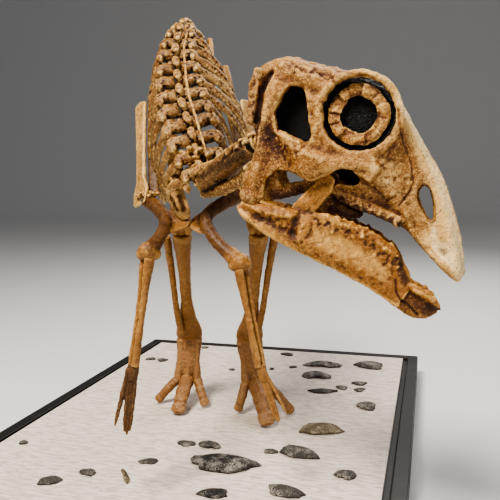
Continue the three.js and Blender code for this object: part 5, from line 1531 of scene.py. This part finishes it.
@dataclass(frozen=True)
class Leg(Limb):
    """One leg with its half of the hips."""

    knee: Triple
    ankle: Triple
    ball: Triple
    toes: Sequence[Row]  # the outer, middle and inner tips
    middle: float  # stoutness of the middle toe

    def build(self, shop: Workshop) -> None:
        """Make the hip bones, the leg and the foot.

        Args:
            shop: The workshop.
        """
        for name in ("ilium", "pubis", "ischium"):
            self.finish(shop, name, Clay().take(shop.nodes[f"{name}_{self.word}"]), smooth=7)
        hip = Vector((-1.9 + self.side * 16.4, 2, 294))
        knee, ankle, ball = Vector(self.knee), Vector(self.ankle), Vector(self.ball)
        shin, out = (ankle - knee).normalized(), self.out
        top = hip + out * 6.5 + Vector((0, 0, -1))
        bend = top.lerp(knee, 0.5) + Vector((0, -4, 0))
        back = Vector((0, 1, 0))
        thigh = Clay().tube([top + Vector((0, 0, 4)), top.lerp(knee, 0.16), bend, knee - shin * 1.2],
                            [(0, 3.4, 5), (0.1, 4.4, 6.4), (0.35, 4.9, 5.3), (0.62, 4.5, 4.7), (0.85, 6.4, 5.8),
                             (0.96, 8.2, 6.8), (1, 7.2, 5.6)], out, 16)
        thigh.tube([hip, top], [(0, 4.2, 4.2), (1, 4.6, 4.8)], (0, 0, 1), 12).ball(hip, 5.9)
        for end in (-1, 1):
            thigh.ball(knee + out * (end * 4.2) + back * 1.2 - shin * 2.4, (3.8, 6.2, 4.6))
        thigh.tube([top.lerp(knee, 0.36) + back * 3.5, bend.lerp(top, 0.1) + back * 7.2,
                    bend.lerp(knee, 0.22) + back * 3.5], [(0, 1.4, 1.6), (0.5, 1.5, 3), (1, 1.2, 1.4)], out, 10)
        thigh.ball(knee + back * 1.2 - shin * 1.6, (4.4, 6.0, 4.2))
        self.finish(shop, "femur", thigh, voxel=0.9)
        calf = knee.lerp(ankle, 0.5) + Vector((0, -2.5, 0))
        turn = shin.lerp((ball - ankle).normalized(), 0.5).normalized()
        shank = Clay().tube([knee + shin * 1.0, calf, ankle - turn * 1.4],
                            [(0, 6.6, 7.8), (0.03, 7.3, 8.4), (0.18, 5.6, 6.2), (0.38, 4.5, 4.7), (0.6, 4.6, 4.2),
                             (0.78, 6.9, 4.4), (0.92, 10.8, 5.4), (0.985, 11.2, 5.8), (1, 10.4, 5)], out, 18)
        for end in (-1, 1):
            shank.ball(ankle + out * (end * 6.2) - turn * 4.4, (4.6, 5.2, 3.8))
            shank.ball(knee + out * (end * 3.8) + shin * 4.2 + back * 1.6, (3.4, 5.4, 3.6))
        self.finish(shop, "tibia", shank, voxel=0.85)

        def beside(t: float, far: float, behind: float) -> Vector:
            """Point beside the shin."""
            return knee.lerp(ankle, t) + out * far + Vector((0, behind, 0))

        splint = Clay().tube([beside(0.03, 12, 3), beside(0.3, 10, -1), beside(0.7, 8, -6.5), beside(0.93, 5.5, -9.5)],
                             [(0, 2.7, 3.3), (0.06, 3.2, 3.6), (0.18, 2.9, 3.0), (0.5, 2.5, 2.4), (0.9, 2.7, 2.4),
                              (1, 2.3, 2.0)], out, 12)
        self.finish(shop, "fibula", splint, voxel=0.6)
        self.foot(shop, ankle, ball, turn)

    def foot(self, shop: Workshop, ankle: Vector, ball: Vector, turn: Vector) -> None:
        """Make the foot.

        Args:
            shop: The workshop.
            ankle: Middle of the ankle.
            ball: Middle of the ball of the foot.
            turn: Direction across the ankle joint.
        """
        out, down = self.out, (ball - ankle).normalized()
        block = Clay().tube([ankle - turn * 1.4, ankle + turn * 3, ankle.lerp(ball, 0.45), ankle.lerp(ball, 0.8)],
                            [(0, 10.6, 5.4), (0.2, 10.8, 6.0), (0.5, 9.6, 4.8), (0.8, 9.2, 3.6), (1, 8.4, 2.4)],
                            out, 20, 9)
        forward = (Vector((self.toes[1][0], self.toes[1][1], ball.z)) - ball).normalized()
        cut = (down + forward * 0.8).normalized()
        for end in (-1, 1):
            block.ball(ankle + out * (end * 6.4) + turn * 2.2, (4.8, 5.6, 3.4))
        for place, tip in zip((1, 0, -1), self.toes):
            plump = 1.14 if place else self.middle
            head = ankle + out * (place * 6.4) + turn * 1.6
            low = ball + out * (place * 8.2)
            block.tube([head, head.lerp(low, 0.5) - out * (place * 0.6), low - cut * 1.6],
                       [(0, 3.6, 4.6), (0.2, 3.6, 4.4), (0.5, 3.3, 3.9), (0.86, 3.8, 3.9), (0.97, 3.7, 3.7),
                        (1, 3.2, 3.2)], out, 14)
            target = Vector((tip[0], tip[1], MAT_TOP + 1.5 * plump))
            run = target - low
            girth = [(0, 3.0, 3.2), (0.08, 3.5, 3.6), (0.22, 3.3, 3.3), (0.34, 3.2, 3.1), (0.42, 3.5, 3.3),
                     (0.50, 3.3, 3.0), (0.56, 3.05, 2.8), (0.62, 3.25, 2.8), (0.70, 3.1, 2.6), (0.75, 2.95, 2.3),
                     (0.84, 3.5, 2.5), (0.94, 3.3, 1.9), (1, 2.0, 1.1)]
            toe = Clay().tube([low - cut * 3.5, low + run * 0.42 + Vector((0, 0, 2.2)),
                               low + run * 0.74 + Vector((0, 0, 0.9)), target - run.normalized() * 1.2 * plump],
                              [(t, a * plump, b * plump) for t, a, b in girth], out, 16)
            name = {1: "outer", 0: "middle", -1: "inner"}[place]
            self.finish(shop, f"toe_{name}", toe, Finish.FOOT, "dark_bone", 0.55, 2,
                        ((3.2, 0.7), (1.1, 0.35)))
        self.finish(shop, "metatarsus", block, Finish.FOOT, voxel=0.7, smooth=3,
                    grains=((4.5, 1.0), (1.5, 0.6)))


LIMBS: Sequence[Limb] = (
    Arm("right", -1, (-32.3, -77, 202), (-36.1, -42, 265),
        ((-27, -77, 199), (-19, -91, 194), (-13.4, -104, 187.5), (-15, -117, 179.5), (-20.5, -127, 172)),
        (-3, -99, 186), (-30, -136, 108), (-35, -138, 69), 1.0),
    Arm("left", 1, (38.2, -77, 204), (37.5, -42, 265),
        ((35, -77, 203), (21, -88, 197), (11, -100, 189), (17.5, -113, 176.5), (32, -123, 164)),
        (4.5, -97, 185), (42.5, -130, 104), (52.5, -132, 72), 0.72),
    Leg("right", -1, (-12, -30, 174), (-15, 30, 79), (-18, 25, 41), ((-44.8, 23.4), (-23.4, -7.2), (-1.2, 10.1)),
        1.75),
    Leg("left", 1, (44.5, -38, 174), (36, 14, 80), (41, 3, 44), ((70.6, -8.1), (49.6, -34.5), (24.8, -3.9)),
        1.95),
)


# ---------------------------------------------------------------- board, mat and eggshell
@dataclass
class Display:
    """The board, its felt mat and the pieces of eggshell; all in mm on the board's own axes."""

    width: float = 305
    depth: float = 457
    height: float = 22
    border: float = 14
    recess: float = 3
    mat: float = 4
    shell_sides: int = 18
    shell_wall: float = 1.1
    big_shells: Sequence[Row] = (  # x, y, length, width, turn, dome height
        (33, -56, 45, 27, 4, 6), (78, -27, 28, 19, -10, 4), (86, 15, 33, 22, 24, 4.5), (107, 179, 32, 22, 8, 5),
        (115, 70, 18, 17, 40, 4), (61, 136, 29, 19, -6, 5), (62, 170, 38, 17, 5, 5), (114, -50, 14, 13, 20, 3),
        (81, -80, 25, 14, -8, 4), (-67, -105, 16, 11, 30, 3), (40, -93, 20, 11, 12, 3), (74, 96, 26, 10, 10, 3),
        (14, -31, 17, 12, -15, 3))
    small_shells: Sequence[Row] = (
        (59, -30, 10, 7, 15, 2.2), (89, 109, 12, 9, -20, 2.4), (103, 124, 15, 9, 12, 2.6), (105, 107, 11, 8, 40, 2.2),
        (-49, -89, 12, 9, -15, 2.4), (-17, -65, 13, 8, 20, 2.4), (-3, -33, 14, 9, 5, 2.4), (-120, -61, 7, 6, 10, 2),
        (-120, 149, 12, 8, 25, 2.2), (-106, 148, 13, 9, -12, 2.4), (-79, 203, 8, 7, 0, 2), (33, 157, 8, 6, 30, 2),
        (18, 198, 14, 9, -8, 2.4), (-24, 135, 6, 5, 15, 1.8), (14, 146, 5, 4, 0, 1.6))

    def bevelled(self, name: str, size: Triple, z: float, bevel: float, dish: float = 0.0) -> bpy.types.Mesh:
        """A box with rounded edges, which can have a sunken top.

        Args:
            name: Name of the mesh.
            size: Its width, depth and height.
            z: Height of its underside.
            bevel: Radius of its edges.
            dish: Width of the border round a sunken top, or 0 for none.

        Returns:
            The mesh in metres.
        """
        bm = bmesh.new()
        bmesh.ops.create_cube(bm, size=1.0, matrix=Matrix.Translation((0, 0, z + size[2] / 2))
                              @ Matrix.Diagonal((*size, 1)))
        if dish:
            top = max(bm.faces, key=lambda f: f.calc_center_median().z)
            bmesh.ops.inset_region(bm, faces=[top], thickness=dish)
            made = bmesh.ops.extrude_face_region(bm, geom=[top])["geom"]
            bmesh.ops.delete(bm, geom=[top], context="FACES_ONLY")
            bmesh.ops.translate(bm, vec=(0, 0, -self.recess), verts=[g for g in made if isinstance(
                g, bmesh.types.BMVert)])
        bmesh.ops.recalc_face_normals(bm, faces=bm.faces)
        edges = [e for e in bm.edges if len(e.link_faces) == 2 and e.calc_face_angle(0) > 0.5]
        bmesh.ops.bevel(bm, geom=edges, offset=bevel, segments=3, profile=0.6, affect="EDGES")
        bmesh.ops.scale(bm, vec=(MM,) * 3, verts=bm.verts)
        return to_mesh(name, bm)

    def shell(self, row: Row, order: int, rise: float = 0.0) -> bpy.types.Mesh:
        """A ragged, domed and pitted piece of eggshell.

        Args:
            row: Its x, y, length, width, turn and dome height.
            order: Its number, which sets its outline.
            rise: How steeply it is tipped up, in degrees.

        Returns:
            The mesh in metres.
        """
        x, y, length, width, turn, dome = row
        bm = bmesh.new()
        bmesh.ops.create_circle(bm, cap_ends=True, cap_tris=True, segments=self.shell_sides, radius=1.0)
        edge = [v for v in bm.verts if v.co.length > 0.5]
        for vert in edge:
            angle = math.atan2(vert.co.y, vert.co.x)
            vert.co *= 0.94 + 0.11 * math.sin(angle * 3 + order * 1.7) + 0.08 * math.cos(angle * 2 + order) \
                + 0.06 * math.sin(angle * 5 + order * 2.3) + 0.05 * math.sin(angle * 8 + order * 3.1)
        bmesh.ops.subdivide_edges(bm, edges=bm.edges, cuts=int(max(3, min(9, length / 3))), use_grid_fill=True)
        for vert in bm.verts:
            reach = min(1.0, vert.co.length)
            ripple = 0.35 * math.sin(vert.co.x * 5 + order) * math.cos(vert.co.y * 4 - order)
            vert.co = (vert.co.x * length / 2, vert.co.y * width / 2, 1.3 + (dome - 1.6) * (1 - reach ** 2.2)
                       + ripple * (1 - reach))
        bmesh.ops.recalc_face_normals(bm, faces=bm.faces)
        bmesh.ops.solidify(bm, geom=bm.faces, thickness=self.shell_wall)
        low = min(v.co.z for v in bm.verts)
        tip = Matrix.Rotation(math.radians(rise), 4, "Y")
        spot = Matrix.Translation((x, y, MAT_TOP)) @ Matrix.Rotation(math.radians(turn), 4, "Z")
        bmesh.ops.transform(bm, matrix=tip @ Matrix.Translation((0, 0, -low)), verts=bm.verts)
        floor = min(v.co.z for v in bm.verts)
        bmesh.ops.transform(bm, matrix=spot @ Matrix.Translation((0, 0, 0.02 - floor)), verts=bm.verts)
        bmesh.ops.scale(bm, vec=(MM,) * 3, verts=bm.verts)
        return to_mesh("shell", bm)

    def paints(self) -> dict[str, bpy.types.Material]:
        """The finishes of the board, the mat and the shell.

        Returns:
            The materials by name.
        """
        made = {}
        for name in ("board_paint", "felt", "eggshell", "eggshell_dark", "eggshell_tan"):
            made[name] = bpy.data.materials.new(name)
            made[name].use_nodes = True
        self.paint_board(Nodes(made["board_paint"].node_tree), (0.022, 0.020, 0.018), (0.050, 0.045, 0.040))
        self.paint_felt(Nodes(made["felt"].node_tree))
        self.paint_shell(Nodes(made["eggshell"].node_tree), (0.070, 0.064, 0.056), (0.34, 0.31, 0.27))
        self.paint_shell(Nodes(made["eggshell_dark"].node_tree), (0.020, 0.018, 0.017), (0.36, 0.33, 0.29))
        self.paint_shell(Nodes(made["eggshell_tan"].node_tree), (0.15, 0.115, 0.070), (0.46, 0.38, 0.26))
        return made

    def paint_board(self, n: Nodes, deep: Triple, worn: Triple) -> None:
        """Satin paint over wood, with faint scuffs.

        Args:
            n: The material's nodes.
            deep: The paint's colour.
            worn: Colour of the scuffs.
        """
        where = n.add("TexCoord").outputs["Object"]
        scuff = n.noise(where, 38.0, 6.0, 0.7)
        dust = n.noise(where, 420.0, 3.0)
        color = n.mix(n.band(scuff, 0.52, 0.72), (*deep, 1), (*worn, 1))
        rough = n.plus(n.times(scuff, 0.22), 0.36)
        n.surface(color, rough, dust, (0.3, 0.0002))

    def paint_felt(self, n: Nodes) -> None:
        """Off-white felt with fine fibres that run across it.

        Args:
            n: The material's nodes.
        """
        where = n.add("TexCoord").outputs["Object"]
        run = n.add("Mapping", {"Vector": where, "Scale": (0.22, 1.0, 1.0)}).outputs[0]
        fibre, tuft = n.noise(run, 1500.0, 4.0, 0.65), n.noise(run, 430.0, 5.0, 0.62)
        thread = n.noise(n.add("Mapping", {"Vector": where, "Scale": (0.08, 1.0, 1.0), "Rotation": (0, 0, 0.09)}
                               ).outputs[0], 700.0, 3.0, 0.6)
        cloud = n.noise(where, 26.0, 3.0)
        color = n.mix(n.band(tuft, 0.34, 0.62), (0.52, 0.435, 0.365, 1), (0.76, 0.68, 0.60, 1))
        color = n.mix(n.times(n.band(fibre, 0.48, 0.66), 0.5), color, (0.90, 0.84, 0.77, 1))
        color = n.mix(n.times(n.band(thread, 0.56, 0.68), 0.5), color, (0.90, 0.85, 0.79, 1))
        color = n.mix(n.times(n.band(cloud, 0.5, 0.72), 0.2), color, (0.56, 0.475, 0.41, 1))
        height = n.plus(n.times(tuft, 1.5), n.plus(fibre, n.times(thread, 0.7)))
        n.surface(color, 0.95, height, (0.9, 0.0008), {"Specular IOR Level": 0.2, "Sheen Weight": 0.15})

    def paint_shell(self, n: Nodes, deep: Triple, pale: Triple) -> None:
        """Grey fossil eggshell with fine pits and paler, worn ridges.

        Args:
            n: The material's nodes.
            deep: Colour of most of it.
            pale: Colour of the worn ridges.
        """
        where = n.add("TexCoord").outputs["Object"]
        broad, grit = n.noise(where, 90.0, 4.0, 0.6), n.noise(where, 1300.0, 5.0, 0.7)
        pits = n.add("TexVoronoi", {"Vector": where, "Scale": 700.0}).outputs["Distance"]
        spots = n.plus(grit, n.times(n.less(broad, 0.5), 0.9))
        color = n.mix(n.band(spots, 0.46, 0.64), (*deep, 1), (*pale, 1))
        color = n.mix(n.times(n.band(pits, 0.34, 0.12), 0.75), color, (0.012, 0.011, 0.010, 1))
        height = n.plus(n.plus(pits, grit), n.times(broad, 1.2))
        n.surface(color, 0.72, height, (0.95, 0.0009))

    def build(self, shop: Workshop) -> None:
        """Make the board, the mat and the shells.

        Args:
            shop: The workshop.
        """
        paints = self.paints()
        board = self.bevelled("board", (self.width, self.depth, self.height), 0, 0.8, self.border)
        shop.place("board", board, paints["board_paint"], "board_paint", ["base_board"], False)
        inset = 2 * self.border + 1
        mat = self.bevelled("mat", (self.width - inset, self.depth - inset, self.mat), MAT_TOP - self.mat, 0.9)
        shop.place("felt_mat", mat, paints["felt"], "mat_felt", ["mat"], False)
        kinds = {0: "eggshell_dark", 10: "eggshell_dark", 2: "eggshell_tan"}
        for order, row in enumerate(self.big_shells):
            shop.place(f"shell_{order + 1:02d}", self.shell(row, order), paints[kinds.get(order, "eggshell")],
                       "eggshell", [f"eggshell_{order + 1:02d}"])
        for order, row in enumerate(self.small_shells):
            shop.place(f"chip_{order + 1:02d}", self.shell(row, order + 20), paints["eggshell"], "eggshell")
        shop.place("chip_16", self.shell((-20, -93, 10, 8, 20, 2.2), 40, 62), paints["eggshell_tan"], "eggshell")


# ---------------------------------------------------------------- studio
@dataclass(frozen=True)
class Lamp:
    """A soft square light in the board's frame, in metres, aimed at a point."""

    name: str
    at: Triple
    aim: Triple
    size: float
    power: float
    color: Triple

    def build(self) -> None:
        """Hang the light."""
        data = bpy.data.lights.new(self.name, "AREA")
        data.shape, data.size, data.energy, data.color = "SQUARE", self.size, self.power, self.color
        lamp = link(self.name, data)
        lamp.location = self.at
        lamp.rotation_euler = (Vector(self.aim) - Vector(self.at)).to_track_quat("-Z", "Y").to_euler()


@dataclass
class Studio:
    """A plain pale floor and backdrop with soft lights and the camera."""

    camera_at: Triple = (0.163, -0.4145, 0.213)
    yaw: float = 16.807
    pitch: float = -6.847
    roll: float = -1.077
    lens: float = 43.2
    floor: float = 4.0  # half width of the floor, in metres
    backdrop: float = 5.0  # its height
    sweep: float = 1.5  # radius of the bend between them
    lamps: Sequence[Lamp] = field(default_factory=lambda: (
        Lamp("key", (-0.14, -0.64, 1.05), (0.0, -0.05, 0.2), 0.32, 17.5, (1.0, 0.93, 0.82)),
        Lamp("fill", (0.85, -0.60, 0.45), (0.0, 0.0, 0.18), 0.7, 2.8, (0.97, 0.97, 1.0)),
        Lamp("rim", (0.25, 0.75, 0.85), (0.0, 0.0, 0.22), 0.6, 5.0, (1.0, 0.98, 0.95)),
    ))

    def build(self) -> None:
        """Set the floor, the lights and the camera."""
        bm = bmesh.new()
        bmesh.ops.create_grid(bm, x_segments=1, y_segments=1, size=self.floor)
        back = [e for e in bm.edges if all(v.co.y > self.floor * 0.9 for v in e.verts)]
        made = bmesh.ops.extrude_edge_only(bm, edges=back)["geom"]
        bmesh.ops.translate(bm, vec=(0, 0, self.backdrop),
                            verts=[g for g in made if isinstance(g, bmesh.types.BMVert)])
        bmesh.ops.bevel(bm, geom=back, offset=self.sweep, segments=16, profile=0.5, affect="EDGES")
        mesh = to_mesh("studio_floor", bm)
        mesh.shade_smooth()
        paint = bpy.data.materials.new("studio_floor")
        paint.use_nodes = True
        shade = paint.node_tree.nodes["Principled BSDF"]
        shade.inputs["Base Color"].default_value = (0.70, 0.69, 0.67, 1)
        shade.inputs["Roughness"].default_value = 0.9
        mesh.materials.append(paint)
        floor = link("studio_floor", mesh)
        world = bpy.data.worlds.new("studio")
        world.use_nodes = True
        sky = world.node_tree.nodes["Background"]
        sky.inputs["Color"].default_value = (0.92, 0.94, 1.0, 1)
        sky.inputs["Strength"].default_value = 0.19
        bpy.context.scene.world = world
        bpy.context.scene.view_settings.look = "AgX - High Contrast"
        for lamp in self.lamps:
            lamp.build()
        data = bpy.data.cameras.new("camera")
        data.lens, data.sensor_width, data.clip_start = self.lens, 36.0, 0.01
        turn = (Matrix.Rotation(math.radians(self.yaw), 4, "Z") @ Matrix.Rotation(math.radians(90 + self.pitch), 4, "X")
                @ Matrix.Rotation(math.radians(self.roll), 4, "Z"))
        camera = link("camera", data)
        camera.matrix_world = Matrix.Translation(self.camera_at) @ turn
        bpy.context.scene.camera = camera


def main() -> None:
    """Build the display."""
    logging.basicConfig(level=logging.INFO, format="%(name)s: %(message)s")
    for item in list(bpy.data.objects):
        bpy.data.objects.remove(item)
    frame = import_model()
    shop = Workshop(frame["nodes"])
    Skull().build(shop)
    LowerJaw().build(shop)
    Spine().build(shop)
    for limb in LIMBS:
        limb.build(shop)
    Display().build(shop)
    Studio().build()


if __name__ == "__main__":
    main()
